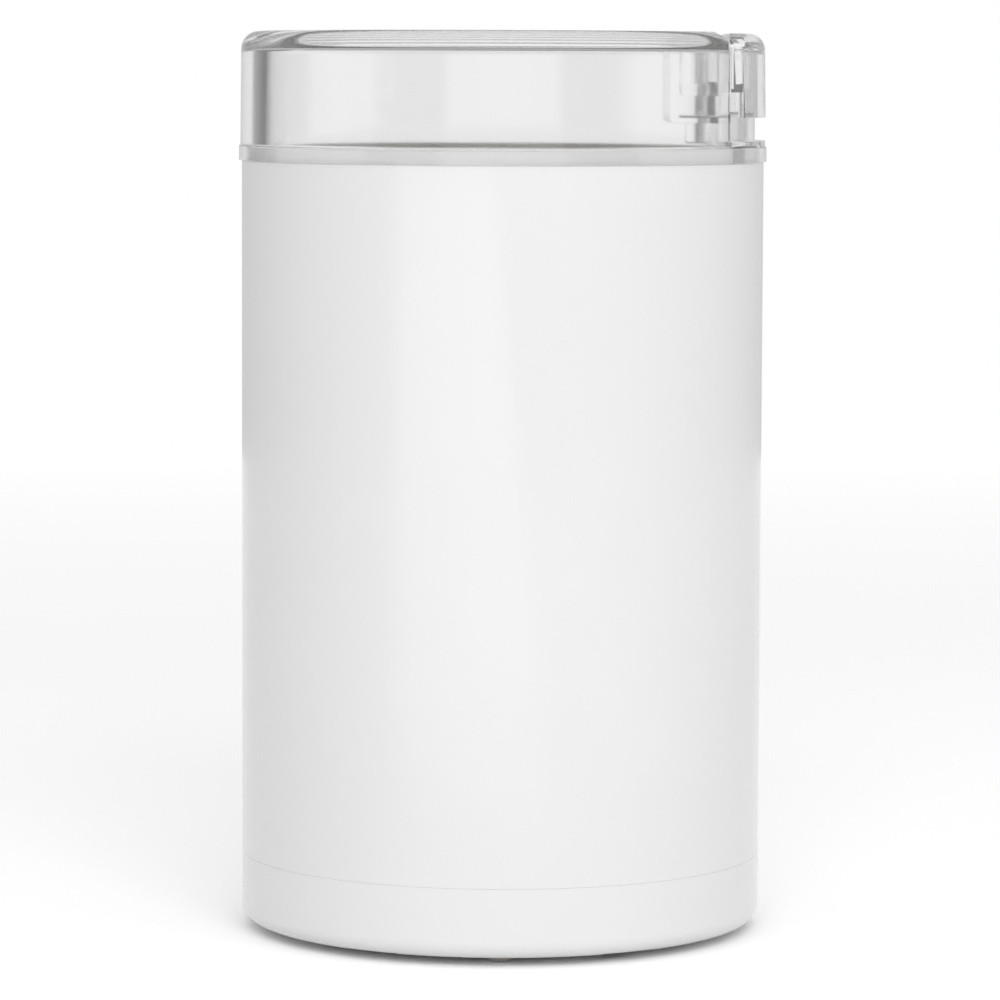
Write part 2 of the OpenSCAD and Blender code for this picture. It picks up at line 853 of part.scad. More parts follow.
module bracket_screws() {
    color("silver") for (s = [-1, 1]) translate([0, s * bracket_screw_y, 0])
        translate([0, 0, mount_top]) mirror([0, 0, 1]) screw(m3_r, mount_t + bracket_t + 2, 0);
}

// Lower bracket with its bearing boss, its posts and the brush pedestals
module lower_bracket() {
    color("dimgray") difference() {
        union() {
            translate([0, 0, plate_under]) linear_extrude(plate_t) pad2d(stator_x, stator_y, frame_round);
            corners(bolt_at) disc(post_r, plate_under + over, stack_low);
            disc(bearing_boss_r, plate_under - lower_boss_h, plate_top + lower_boss_out);
            brush_sides() slab([-pedestal_w / 2, pedestal_w / 2], pedestal_y,
                [plate_under + over, brush_z - brush[2] / 2 - fit - holder_wall]);
        }
        disc(bearing_r + press, fan_top, plate_top + bearing_out + over);
        corners(bolt_at) disc(bolt_r + fit, plate_under - over, stack_low + over);
        bracket_windows(plate_under, plate_top);
    }
}

module frame_bolts() {
    color("silver") corners(bolt_at) screw(bolt_r, bracket_under - plate_under - 1, plate_under);
}

// Laminated stator with two poles on the X axis
module stator_core() {
    color("slategray") translate([0, 0, stack_low]) linear_extrude(stack_h) difference() {
        pad2d(stator_x, stator_y, frame_round);
        circle(r = bore_r);
        difference() {
            circle(r = window_r);
            for (a = [0, 180]) rotate(a) {
                translate([bore_r - 1, -pole_half]) square([window_r, 2 * pole_half]);
                intersection() {
                    circle(r = bore_r + pole_tip_t);
                    polygon([[0, 0], [window_r * 2, -window_r * 2 * tan(pole_deg)],
                        [window_r * 2, window_r * 2 * tan(pole_deg)]]);
                }
            }
        }
        corners(bolt_at) circle(r = bolt_r + fit);
    }
}

// Two saddle coils, each wound round its pole
module field_coils() {
    color("chocolate") for (a = [0, 180]) rotate([0, 0, a]) difference() {
        rotate([0, 0, -pole_deg]) rotate_extrude(angle = 2 * pole_deg)
            block2d([bore_r + pole_tip_t + coil_gap, window_r - coil_gap],
                [stack_low - coil_over, stack_top + coil_over], coil_round);
        slab([0, window_r + over], [-pole_half - coil_gap, pole_half + coil_gap],
            [stack_low - coil_gap, stack_top + coil_gap]);
    }
}

module bearing(z0, z1) {
    difference() {
        rotate_extrude() block2d([1, bearing_r], [z0, z1], 0.6);
        disc(shaft_r + slip, z0 - over, z1 + over);
    }
}

module upper_bearing() {
    color("goldenrod") bearing(mount_under - upper_bearing_h, mount_under - fit);
}

module lower_bearing() {
    color("goldenrod") bearing(plate_top + bearing_out - bearing_h, plate_top + bearing_out);
}

// Places its children once for the brush at +Y and once for the one at -Y
module brush_sides() { for (a = [0, 180]) rotate([0, 0, a]) children(); }

module brush_holders() {
    x = brush[0] / 2 + fit;
    z = brush[2] / 2 + fit;
    color("gold") brush_sides() difference() {
        slab([-x - holder_wall, x + holder_wall], [holder_y, holder_y + holder_len],
            [brush_z - z - holder_wall, brush_z + z + holder_wall]);
        slab([-x, x], [holder_y - over, holder_y + holder_len + over], [brush_z - z, brush_z + z]);
    }
}

module carbon_brushes() {
    color("black") brush_sides() difference() {
        slab([-brush[0] / 2, brush[0] / 2], [comm_r - over, comm_r + brush[1]],
            [brush_z - brush[2] / 2, brush_z + brush[2] / 2]);
        disc(comm_r + brush_gap, brush_z - brush[2], brush_z + brush[2]);
    }
}

module brush_springs() {
    color("silver") brush_sides() translate([0, 0, brush_z]) rotate([-90, 0, 0])
        coil(brush_coil[0], brush_coil[1], comm_r + brush[1] + press, holder_y + holder_len - press,
            4, 6, 16);
}

module brush_caps() {
    color("dimgray") brush_sides() translate([0, holder_y + holder_len + brush_cap[1] / 2, brush_z])
        cube(brush_cap, center = true);
}

// Micro switch with two ears for its lever
module switch_body() {
    x = [lever_x - switch_size[0] / 2, switch_x1()];
    color("black") difference() {
        union() {
            slab(x, [switch_y, switch_y + switch_size[1]], [switch_top - switch_size[2], switch_top]);
            for (e = [[x[0], x[0] + ear_t], [x[1] - ear_t, x[1]]])
                translate([e[0], lever_y, lever_z]) rotate([0, 90, 0]) {
                    cylinder(r = ear_r, h = ear_t);
                    translate([0, -ear_r, 0]) cube([lever_z - switch_top + 0.6, 2 * ear_r, ear_t]);
                }
        }
        translate([x[0] - over, lever_y, lever_z]) rotate([0, 90, 0])
            cylinder(r = lever_pin_r + slip, h = switch_size[0] + 2 * over);
        translate([lever_x, button_pin_y, 0])
            disc(button_pin_r + fit, button_pin_top - button_pin_h - 2, switch_top + over);
        for (p = switch_holes()) translate([x[0] - over, p[0], p[1]]) rotate([0, 90, 0])
            cylinder(r = switch_screw_r + fit, h = switch_size[0] + 2 * over);
    }
}

module switch_terminals() {
    color("gold") for (y = terminal_y) translate([lever_x - terminal[0] / 2, switch_y + y - terminal[1] / 2,
        switch_top - switch_size[2] - terminal[2]]) difference() {
            cube(terminal);
            translate([-over, terminal[1] / 2, terminal_hole[1]]) rotate([0, 90, 0])
                cylinder(r = terminal_hole[0], h = terminal[0] + 2 * over);
        }
}

module switch_screws() {
    x0 = lever_x - switch_size[0] / 2;
    color("silver") for (p = switch_holes()) translate([x0, p[0], p[1]]) rotate([0, 90, 0]) {
        translate([0, 0, -switch_head[1]]) cylinder(r = switch_head[0], h = switch_head[1]);
        cylinder(r = switch_screw_r - press, h = switch_size[0] + 2);
    }
}

module lever_pin() {
    color("silver") translate([lever_x - switch_size[0] / 2, lever_y, lever_z]) rotate([0, 90, 0])
        cylinder(r = lever_pin_r, h = switch_size[0]);
}

module rod_spring() {
    color("silver") translate([rod_x, 0, 0]) coil(spring_r, spring_wire_r, spring_low, spring_top, 7);
}

// Shaft with flats for the blade and a thin end for its nut
module motor_shaft() {
    color("silver") difference() {
        union() {
            disc(shaft_r, shaft_low, blade_z + blade_t);
            disc(stub_r, blade_z, blade_z + blade_t + stub_h);
        }
        for (s = [-1, 1]) slab([-shaft_r - over, shaft_r + over],
            s > 0 ? [flats / 2, shaft_r + over] : [-shaft_r - over, -flats / 2],
            [blade_z - 0.4, blade_z + blade_t + stub_h + over]);
    }
}

// Laminated rotor with half closed round slots
module rotor_core() {
    color("slategray") translate([0, 0, rotor_low]) linear_extrude(rotor_top - rotor_low) difference() {
        circle(r = rotor_r);
        circle(r = shaft_r + press_in);
        around(slot_n, slot_at) {
            circle(r = slot_r);
            translate([0, -slot_mouth / 2]) square([rotor_r, slot_mouth]);
        }
    }
}

// Slot bars and both end turns of the rotor
module rotor_windings() {
    color("chocolate") {
        for (z = [[rotor_low - end_turn, rotor_low - fit], [rotor_top + fit, rotor_top + end_turn]])
            rotate_extrude() block2d([shaft_r + winding_gap, rotor_r - winding_inset], z, coil_round);
        around(slot_n, slot_at) disc(slot_r - fit, rotor_low - 1, rotor_top + 1);
    }
}

module commutator_hub() {
    color("saddlebrown") ring(shaft_r + press_in, bar_hub_r - press_in, comm_hub_low, comm_top + hub_head);
}

// Copper bars round the hub, one for each slot gap, with risers at the top
module commutator_bars() {
    color("peru") difference() {
        union() {
            ring(bar_hub_r, comm_r, comm_low, comm_top);
            ring(bar_hub_r, comm_r + riser, comm_top - riser, comm_top);
        }
        around(slot_n, 0) slab([0, comm_r + 2 * riser], [-bar_gap / 2, bar_gap / 2],
            [comm_low - over, comm_top + over]);
    }
}

module thrust_washers() {
    color("whitesmoke") {
        ring(shaft_r + slip, washer_r, comm_hub_low - washer_h, comm_hub_low);
        ring(shaft_r + slip, washer_r, mount_under - upper_bearing_h - clear - washer_h,
            mount_under - upper_bearing_h - clear);
    }
}

// Radial fan: a plate with curved blades under it
module cooling_fan() {
    color("ivory") difference() {
        union() {
            disc(fan_r, fan_top - fan_plate_t, fan_top);
            disc(fan_hub[0], fan_low, fan_top + fan_hub[1]);
            translate([0, 0, fan_low]) linear_extrude(fan_h - 1) intersection() {
                circle(r = fan_r - fan_rim);
                difference() {
                    around(fan_n, 0) translate([fan_r * 0.45, fan_r * 0.62]) difference() {
                        circle(r = fan_r * 0.68);
                        circle(r = fan_r * 0.68 - fan_blade_t);
                        translate([-fan_r, -fan_r * 0.08]) square([2 * fan_r, fan_r]);
                        translate([-fan_r * 1.5, -fan_r]) square([fan_r * 1.15, 2 * fan_r]);
                    }
                    circle(r = fan_eye_r);
                }
            }
        }
        disc(shaft_r + press_in, fan_low - over, fan_top + fan_hub[1] + over);
    }
}

module blade_spacer() { color("silver") ring(shaft_r + press_in, spacer_r, spacer_z, blade_z); }

// Outline of one wing, seen from above: swept front edge and straight back edge
module wing_plan() {
    intersection() {
        circle(r = blade_r);
        translate([0, -wing_w * 0.45]) square([blade_r + over, wing_w]);
        translate(sweep_at) circle(r = sweep_r, $fn = 200);
    }
}

// Side view of a strip that is flat as far as the fold and then rises at an angle
function fold_path(angle) = let (a = abs(angle), s = sign(angle), n = 6) concat(
    [[0, 0, 0]],
    [for (i = [0:n]) let (f = a * i / n) [fold_x + fold_r * sin(f), s * fold_r * (1 - cos(f)), s * f]],
    [[fold_x + fold_r * sin(a) + body_r * cos(a), s * (fold_r * (1 - cos(a)) + body_r * sin(a)), s * a]]
);

module fold_side(angle) {
    path = fold_path(angle);
    n = len(path) - 1;
    polygon(concat(
        [for (p = path) [p[0] - blade_t / 2 * sin(p[2]), p[1] + blade_t / 2 * cos(p[2])]],
        [for (i = [n:-1:0]) let (p = path[i])
            [p[0] + blade_t / 2 * sin(p[2]), p[1] - blade_t / 2 * cos(p[2])]]
    ));
}

// Wing folded by an angle about a skewed line, with the front edge ground to a bevel
module wing(angle, skew) {
    pivot = fold_x + fold_r * tan(angle / 2);
    difference() {
        intersection() {
            rotate([0, 0, skew]) translate([0, 0, blade_t / 2]) rotate([90, 0, 0])
                linear_extrude(body_d, center = true) fold_side(angle);
            linear_extrude(body_r, center = true) wing_plan();
        }
        rotate([0, 0, skew]) translate([pivot, 0, blade_t / 2]) rotate([0, -angle, 0])
            translate([-pivot, 0, -blade_t / 2]) rotate([0, 0, -skew]) edge_grind();
    }
}

// What the grinding of the front edge takes away, from past the fold to the tip
module edge_grind() {
    slope = bevel / (blade_t - bevel_at);
    intersection() {
        translate([sweep_at[0], sweep_at[1], -over]) difference() {
            cylinder(r = 1.5 * sweep_r, h = blade_t + 2 * over);
            translate([0, 0, -over]) cylinder(
                r1 = sweep_r + slope * (2 * over + bevel_at),
                r2 = sweep_r - slope * (2 * over + blade_t - bevel_at),
                h = blade_t + 4 * over, $fn = 200);
        }
        translate([fold_x + 2 * fold_r, -body_r, -2 * over]) cube([body_r, body_d, 3 * blade_t]);
    }
}

module blade() {
    color("silver") translate([0, 0, blade_z]) difference() {
        union() {
            disc(blade_hub_r, 0, blade_t);
            wing(fold_up, fold_skew);
            rotate([0, 0, 180]) wing(-fold_down, -fold_skew);
        }
        linear_extrude(3 * blade_t, center = true) intersection() {
            circle(r = shaft_r + press);
            square([3 * shaft_r, flats + 2 * press], center = true);
        }
    }
}

// Cap nut: hexagon foot with a round dome
module blade_nut() {
    z0 = blade_z + blade_t;
    color("gainsboro") difference() {
        union() {
            translate([0, 0, z0]) cylinder(r = blade_nut_r, h = blade_nut_h, $fn = 6);
            dome(blade_nut_r * 0.82, blade_nut_r * 0.8, z0 + blade_nut_h - over, z0 + blade_nut_h + dome_h,
                dome_h * 0.93);
        }
        disc(stub_r + press, z0 - over, z0 + stub_h + 2 * fit);
    }
}

// Push rod: guided head, spring collar, long stem and the nose over the lever
module push_rod() {
    color("whitesmoke") {
        translate([rod_x, 0, 0]) {
            disc(head_r, rod_collar_top - fit, head_top);
            disc(rod_collar_r, rod_collar_top - rod_collar_t, rod_collar_top);
            disc(rod_r, nose_z, rod_collar_top - over);
        }
        slab([lever_x - lever_w / 2, lever_x - lever_w / 2 + nose_w], [nose_y - nose_r, nose_y + nose_r],
            [nose_z, nose_z + nose_h]);
        translate([lever_x - lever_w / 2, nose_y, nose_z]) rotate([0, 90, 0])
            cylinder(r = nose_r, h = nose_w);
    }
}

module switch_pin() {
    color("firebrick") translate([lever_x, button_pin_y, 0])
        disc(button_pin_r, button_pin_top - button_pin_h, button_pin_top);
}

// Lever with its eye on the pin, raised to its resting angle
module switch_lever() {
    color("silver") translate([lever_x - lever_w / 2, lever_y, lever_z]) rotate([lever_rest, 0, 0])
        difference() {
            union() {
                translate([0, 0, -lever_t / 2]) cube([lever_w, lever_len, lever_t]);
                rotate([0, 90, 0]) cylinder(r = lever_eye_r, h = lever_w);
            }
            translate([-over, 0, 0]) rotate([0, 90, 0])
                cylinder(r = lever_pin_r + press, h = lever_w + 2 * over);
        }
}

// Everything on the axis side of an upright plane across X, with its top edge cut back
module inside_plane(x, z, cut) {
    rotate([90, 0, 0]) linear_extrude(3 * body_d, center = true)
        polygon([[-body_d, 0], [x, 0], [x, z - cut[1]], [x - cut[0], z], [-body_d, z]]);
}

// Clear lid: shell with a flange, and the bay, pocket and post for the button
module lid() {
    color("lightcyan", 0.5) difference() {
        union() {
            difference() {
                union() {
                    intersection() {
                        dome(lid_r, lid_r - lid_draft, lid_z, lid_top, lid_round);
                        inside_plane(bay_x, lid_top, bay_slope);
                    }
                    drum(lid_r, lid_z, ledge_top, lid_edge, lid_edge);
                    drum(flange_r, lid_z, lid_z + flange_h, flange_edge, lid_edge);
                }
                lid_hollow();
            }
            pocket_block();
            lid_post();
            curb();
            translate([rod_x, 0, 0]) drum(guide_r, ledge_under + over / 2, curb_top, lid_edge, lid_edge);
        }
        slab([pocket_x + pocket_wall, bay_x - bay_wall],
            [-pocket_w / 2 + pocket_wall, pocket_w / 2 - pocket_wall], [pocket_z + pocket_floor, lid_under]);
        slab([bay_x - bay_wall - over, button_x + button_wall],
            [-tongue_w / 2 - clear, tongue_w / 2 + clear], [tongue_z - travel - clear, tongue_top + clear]);
        translate([rod_x, 0, 0]) disc(head_r + clear, ledge_under - over, curb_top + over);
    }
}

// Room inside the lid: over the bowl, round the collar and under the ledge
module lid_hollow() {
    intersection() {
        dome(lid_in_r, lid_in_r - lid_draft, lid_z - over, lid_under, lid_in_round);
        inside_plane(bay_x - bay_wall, lid_under, [lid_in_round, lid_in_round]);
    }
    disc(skirt_in_r, lid_z - over, ledge_under);
    intersection() {
        disc(skirt_in_r, lid_z, deck_top + clear);
        slab([-body_r, button_x + clear], [-body_r, body_r], [0, lid_top]);
    }
}

// Block under the lid top that the pocket is sunk in, with its lower corners rounded
module pocket_block() {
    x = [pocket_x, bay_x - bay_wall / 2];
    z = [pocket_z, lid_under + lid_top_t / 2];
    intersection() {
        rotate([90, 0, 0]) linear_extrude(2 * pocket_w, center = true)
            block2d([x[0], bay_x + 2 * pocket_round], [z[0], lid_top + pocket_round], pocket_round);
        linear_extrude(z[1]) block2d([x[0], bay_x + 2 * pocket_edge], [-pocket_w / 2, pocket_w / 2],
            pocket_edge);
        slab([x[0] - over, x[1]], [-pocket_w, pocket_w], [z[0] - over, z[1]]);
    }
}

module lid_post() {
    translate([bay_x - post_back - post_d[0] / 2, 0, post_z])
        linear_extrude(pocket_z + pocket_floor / 2 - post_z) pad2d(post_d[0], post_d[1], post_round);
}

// Low wall behind the skirt of the button, with a sloped foot
module curb() {
    r = button_in_r - clear;
    intersection() {
        rotate_extrude() polygon([
            [r - curb_t, ledge_top - over / 2], [r + curb_foot[0][0], ledge_top - over / 2],
            for (p = curb_foot) [r + p[0], ledge_top + p[1]],
            [r, curb_top - lid_edge], [r - lid_edge, curb_top], [r - curb_t, curb_top]
        ]);
        slab([bay_x - over / 2, body_d], [-body_r, body_r], [0, lid_top]);
    }
}

// Everything past an upright plane across X, under a height, with a round edge between the two
module past_plane(x, z, round) {
    rotate([90, 0, 0]) linear_extrude(3 * body_d, center = true)
        block2d([x, x + body_d], [z - lid_top, z], round);
}

// Clear button: cap with a skirt, a hooked tongue into the pocket and a pin over the rod
module lid_button() {
    x_tip = pocket_x + pocket_wall + tongue_play;
    color("azure", 0.5) {
        difference() {
            intersection() {
                dome(button_r, button_r - lid_draft, skirt_z, button_top, button_round);
                past_plane(button_x, button_top, button_edge);
            }
            intersection() {
                dome(button_in_r, button_in_r - lid_draft, skirt_z - over, button_under, button_round - 1);
                slab([button_x + button_wall, body_d], [-body_r, body_r], [0, lid_top]);
            }
            slab([button_x - over, button_x + button_wall + over], [-body_r, body_r],
                [skirt_z - over, button_wall_z]);
        }
        translate([rod_x, 0, 0]) disc(head_r, pin_z, button_under + button_top_t / 2);
        slab([x_tip, button_x + button_wall / 2], [-tongue_w / 2, tongue_w / 2], [tongue_z, tongue_top]);
        slab([x_tip, x_tip + hook_t], [-tongue_w / 2, tongue_w / 2], [tongue_z, hook_top]);
    }
}

housing();
base_cover();
feet();
base_screws();
cord_gland();
capacitor();
grinding_bowl();
bowl_gasket();
bowl_seal();
nut_washer();
bowl_nut();
shaft_seal();
top_bush();
motor_mount();
mount_dampers();
mount_screws();
upper_bracket();
bracket_screws();
lower_bracket();
frame_bolts();
stator_core();
field_coils();
upper_bearing();
lower_bearing();
brush_holders();
carbon_brushes();
brush_springs();
brush_caps();
switch_body();
switch_terminals();
switch_screws();
lever_pin();
rod_spring();
motor_shaft();
rotor_core();
rotor_windings();
commutator_hub();
commutator_bars();
thrust_washers();
cooling_fan();
blade_spacer();
blade();
blade_nut();
push_rod();
switch_pin();
switch_lever();
lid();
lid_button();
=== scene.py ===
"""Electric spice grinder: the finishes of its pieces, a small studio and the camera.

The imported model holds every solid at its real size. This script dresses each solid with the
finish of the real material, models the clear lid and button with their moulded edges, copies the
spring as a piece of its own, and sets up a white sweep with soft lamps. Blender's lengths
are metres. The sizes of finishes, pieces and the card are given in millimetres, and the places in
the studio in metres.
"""

import logging
import math
from collections.abc import Callable, Iterator
from contextlib import contextmanager
from dataclasses import dataclass
from enum import Enum
from typing import Any

import bmesh
import bpy
from mathutils import Matrix, Vector


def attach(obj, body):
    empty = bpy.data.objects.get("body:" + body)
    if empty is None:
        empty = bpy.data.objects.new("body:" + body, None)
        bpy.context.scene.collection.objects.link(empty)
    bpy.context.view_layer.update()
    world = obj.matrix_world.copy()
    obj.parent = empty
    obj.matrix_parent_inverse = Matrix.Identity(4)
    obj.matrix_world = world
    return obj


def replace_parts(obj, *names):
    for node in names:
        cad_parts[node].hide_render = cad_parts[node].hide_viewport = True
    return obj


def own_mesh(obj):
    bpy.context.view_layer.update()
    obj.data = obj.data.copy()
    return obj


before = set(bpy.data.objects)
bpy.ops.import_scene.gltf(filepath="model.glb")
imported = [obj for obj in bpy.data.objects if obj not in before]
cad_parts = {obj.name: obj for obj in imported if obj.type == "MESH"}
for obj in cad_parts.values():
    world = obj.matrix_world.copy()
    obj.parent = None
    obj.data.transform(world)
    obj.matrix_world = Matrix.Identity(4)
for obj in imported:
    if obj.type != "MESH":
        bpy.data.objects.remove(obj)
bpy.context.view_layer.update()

MM = 0.001
log = logging.getLogger("spice_grinder")
Node = bpy.types.Node
Tree = bpy.types.NodeTree
Socket = tuple[Node, str | int]
Piece = bpy.types.Object
Span = tuple[float, float]
# Nearly all values of a noise texture lie in this span
NOISE_SPAN = {"From Min": 0.3, "From Max": 0.7}


# ---------------------------------------------------------------- materials: common ground

def linear(hex_colour: str) -> tuple[float, float, float, float]:
    """Turns an sRGB hex colour into the linear colour that a shader takes.

    Args:
        hex_colour: six hex digits after a hash, such as "#F4F4F2".

    Returns:
        Linear red, green and blue, and an alpha of 1.
    """
    parts = [int(hex_colour[i:i + 2], 16) / 255 for i in (1, 3, 5)]
    red, green, blue = (c / 12.92 if c <= 0.04045 else ((c + 0.055) / 1.055) ** 2.4 for c in parts)
    return red, green, blue, 1.0


def add_node(tree: Tree, kind: str, inputs: dict[Any, Any] | None = None, **settings: Any) -> Node:
    """Adds one shader node with its settings and links.

    Args:
        tree: the node tree to add to.
        kind: the node's type without its prefix, such as "TexNoise".
        inputs: what goes into each input, by its name or number: a value, or a pair of a node
            and the name or number of one of its outputs.
        settings: the node's own properties.

    Returns:
        The new node.
    """
    node = tree.nodes.new("ShaderNode" + kind)
    for name, value in settings.items():
        setattr(node, name, value)
    for name, value in (inputs or {}).items():
        if isinstance(value, tuple) and isinstance(value[0], bpy.types.Node):
            tree.links.new(value[0].outputs[value[1]], node.inputs[name])
        else:
            node.inputs[name].default_value = value
    return node


def open_material(name: str) -> tuple[bpy.types.Material, Tree, Node]:
    """Makes an empty node material.

    Args:
        name: the material's name.

    Returns:
        The material, its node tree and its output node.
    """
    material = bpy.data.materials.new(name)
    material.use_nodes = True
    material.node_tree.nodes.clear()
    return material, material.node_tree, add_node(material.node_tree, "OutputMaterial")


def in_millimetres(tree: Tree) -> Socket:
    """Gives the place on the piece in millimetres.

    Args:
        tree: the node tree to add to.

    Returns:
        A vector socket with Object coordinates times 1000.
    """
    place = add_node(tree, "TexCoord")
    scaled = add_node(tree, "VectorMath", {0: (place, "Object"), "Scale": 1 / MM}, operation="SCALE")
    return scaled, "Vector"


# ---------------------------------------------------------------- materials: the finishes

@dataclass(frozen=True)
class MouldedPlastic:
    """Injection moulded plastic: slight flow shades, and the mould's texture drawn coarser than a pixel."""

    name: str
    light: str
    dark: str
    roughness: float
    texture_mm: float
    texture_depth_mm: float
    ior: float = 1.52
    flow_mm: float = 26.0
    patchy: Span = (0.9, 1.1)

    def make(self) -> bpy.types.Material:
        """Returns the material."""
        material, tree, out = open_material(self.name)
        where = in_millimetres(tree)
        flow = add_node(tree, "TexNoise", {"Vector": where, "Scale": 1 / self.flow_mm})
        colour = add_node(tree, "Mix", {0: (flow, "Fac"), 6: linear(self.light), 7: linear(self.dark)},
                          data_type="RGBA")
        shine = add_node(tree, "MapRange", {
            "Value": (flow, "Fac"), **NOISE_SPAN,
            "To Min": self.roughness * self.patchy[0], "To Max": self.roughness * self.patchy[1]})
        texture = add_node(tree, "TexNoise", {"Vector": where, "Scale": 1 / self.texture_mm, "Detail": 3.0})
        relief = add_node(tree, "Bump", {"Height": (texture, "Fac"), "Distance": self.texture_depth_mm * MM})
        skin = add_node(tree, "BsdfPrincipled", {
            "Base Color": (colour, 2), "Roughness": (shine, 0), "IOR": self.ior, "Normal": (relief, 0)})
        tree.links.new(skin.outputs[0], out.inputs["Surface"])
        return material


@dataclass(frozen=True)
class ClearPlastic:
    """Clear moulded SAN: water clear, with the faint waves of a moulded wall."""

    name: str
    tint: str
    roughness: float
    wave_mm: float
    wave_depth_mm: float
    ior: float = 1.57
    lamp_share: str = "#FFFFFF"
    handling_mm: float = 9.0
    patchy: Span = (1.0, 1.6)

    def make(self) -> bpy.types.Material:
        """Returns the material, which lets the lamps through without a hard shadow."""
        material, tree, out = open_material(self.name)
        where = in_millimetres(tree)
        waves = add_node(tree, "TexNoise", {"Vector": where, "Scale": 1 / self.wave_mm, "Detail": 1.0})
        relief = add_node(tree, "Bump", {"Height": (waves, "Fac"), "Distance": self.wave_depth_mm * MM})
        handling = add_node(tree, "TexNoise", {"Vector": where, "Scale": 1 / self.handling_mm,
                                               "Detail": 4.0})
        shine = add_node(tree, "MapRange", {
            "Value": (handling, "Fac"), **NOISE_SPAN,
            "To Min": self.roughness * self.patchy[0], "To Max": self.roughness * self.patchy[1]})
        skin = add_node(tree, "BsdfPrincipled", {
            "Base Color": linear(self.tint), "Roughness": (shine, 0), "IOR": self.ior,
            "Transmission Weight": 1.0, "Normal": (relief, 0)})
        ray = add_node(tree, "LightPath")
        passing = add_node(tree, "BsdfTransparent", {"Color": linear(self.lamp_share)})
        both = add_node(tree, "MixShader", {0: (ray, "Is Shadow Ray"), 1: (skin, 0), 2: (passing, 0)})
        tree.links.new(both.outputs[0], out.inputs["Surface"])
        return material


@dataclass(frozen=True)
class SoftRubber:
    """Moulded rubber or silicone: a dull skin with dust in it, drawn coarser than a pixel."""

    name: str
    light: str
    dark: str
    roughness: float
    glow: float = 0.0
    glow_mm: float = 2.0
    grain_mm: float = 0.35
    grain_depth_mm: float = 0.012
    patch_mm: float = 4.0
    patchy: Span = (0.92, 1.05)
    ior: float = 1.42

    def make(self) -> bpy.types.Material:
        """Returns the material."""
        material, tree, out = open_material(self.name)
        where = in_millimetres(tree)
        grain = add_node(tree, "TexNoise", {"Vector": where, "Scale": 1 / self.grain_mm, "Detail": 3.0})
        relief = add_node(tree, "Bump", {"Height": (grain, "Fac"), "Distance": self.grain_depth_mm * MM})
        patch = add_node(tree, "TexNoise", {"Vector": where, "Scale": 1 / self.patch_mm})
        colour = add_node(tree, "Mix", {0: (patch, "Fac"), 6: linear(self.light), 7: linear(self.dark)},
                          data_type="RGBA")
        shine = add_node(tree, "MapRange", {
            "Value": (patch, "Fac"), **NOISE_SPAN,
            "To Min": self.roughness * self.patchy[0], "To Max": self.roughness * self.patchy[1]})
        skin = add_node(tree, "BsdfPrincipled", {
            "Base Color": (colour, 2), "IOR": self.ior, "Roughness": (shine, 0),
            "Subsurface Weight": self.glow, "Subsurface Scale": self.glow_mm * MM, "Normal": (relief, 0)})
        tree.links.new(skin.outputs[0], out.inputs["Surface"])
        return material


class Grain(Enum):
    """How the surface of a metal piece was made, which sets the run of its fine lines."""

    SPUN = "lines round the axis"
    GROUND = "straight lines across the piece"
    CAST = "an even pebbled skin"
    PLATED = "a smooth skin with faint clouds"


@dataclass(frozen=True)
class BareMetal:
    """Metal with the grain of its making, drawn coarser than the real one, which is finer than a pixel."""

    name: str
    light: str
    dark: str
    roughness: float
    grain: Grain
    grain_mm: float
    depth_mm: float
    anisotropy: float = 0.0
    stretch: float = 0.03
    turn: float = 24.0
    cloud_mm: float = 8.0
    patchy: Span = (0.8, 1.2)

    def run(self, tree: Tree, where: Socket) -> Socket:
        """Gives the place as the grain sees it: drawn out along its lines.

        Args:
            tree: the node tree to add to.
            where: the place in millimetres.

        Returns:
            A vector socket.
        """
        if self.grain is Grain.SPUN:
            split = add_node(tree, "SeparateXYZ", {"Vector": where})
            flat = add_node(tree, "CombineXYZ", {"X": (split, "X"), "Y": (split, "Y")})
            reach = add_node(tree, "VectorMath", {0: (flat, "Vector")}, operation="LENGTH")
            return add_node(tree, "CombineXYZ", {"X": (reach, "Value"), "Y": (split, "Z")}), "Vector"
        if self.grain is Grain.GROUND:
            return add_node(tree, "Mapping", {"Vector": where, "Scale": (1.0, self.stretch, 1.0),
                                              "Rotation": (0.0, 0.0, math.radians(self.turn))}), "Vector"
        return where

    def make(self) -> bpy.types.Material:
        """Returns the material."""
        material, tree, out = open_material(self.name)
        where = in_millimetres(tree)
        fine = 2.0 if self.grain in (Grain.CAST, Grain.PLATED) else 4.0
        lines = add_node(tree, "TexNoise", {"Vector": self.run(tree, where), "Scale": 1 / self.grain_mm,
                                            "Detail": fine})
        relief = add_node(tree, "Bump", {"Height": (lines, "Fac"), "Distance": self.depth_mm * MM})
        shine = add_node(tree, "MapRange", {
            "Value": (lines, "Fac"), **NOISE_SPAN,
            "To Min": self.roughness * self.patchy[0], "To Max": self.roughness * self.patchy[1]})
        clouds = add_node(tree, "TexNoise", {"Vector": where, "Scale": 1 / self.cloud_mm, "Detail": 3.0})
        colour = add_node(tree, "Mix", {0: (clouds, "Fac"), 6: linear(self.light), 7: linear(self.dark)},
                          data_type="RGBA")
        skin = add_node(tree, "BsdfPrincipled", {
            "Base Color": (colour, 2), "Metallic": 1.0, "Roughness": (shine, 0),
            "Anisotropic": self.anisotropy, "Normal": (relief, 0)})
        tree.links.new(skin.outputs[0], out.inputs["Surface"])
        return material


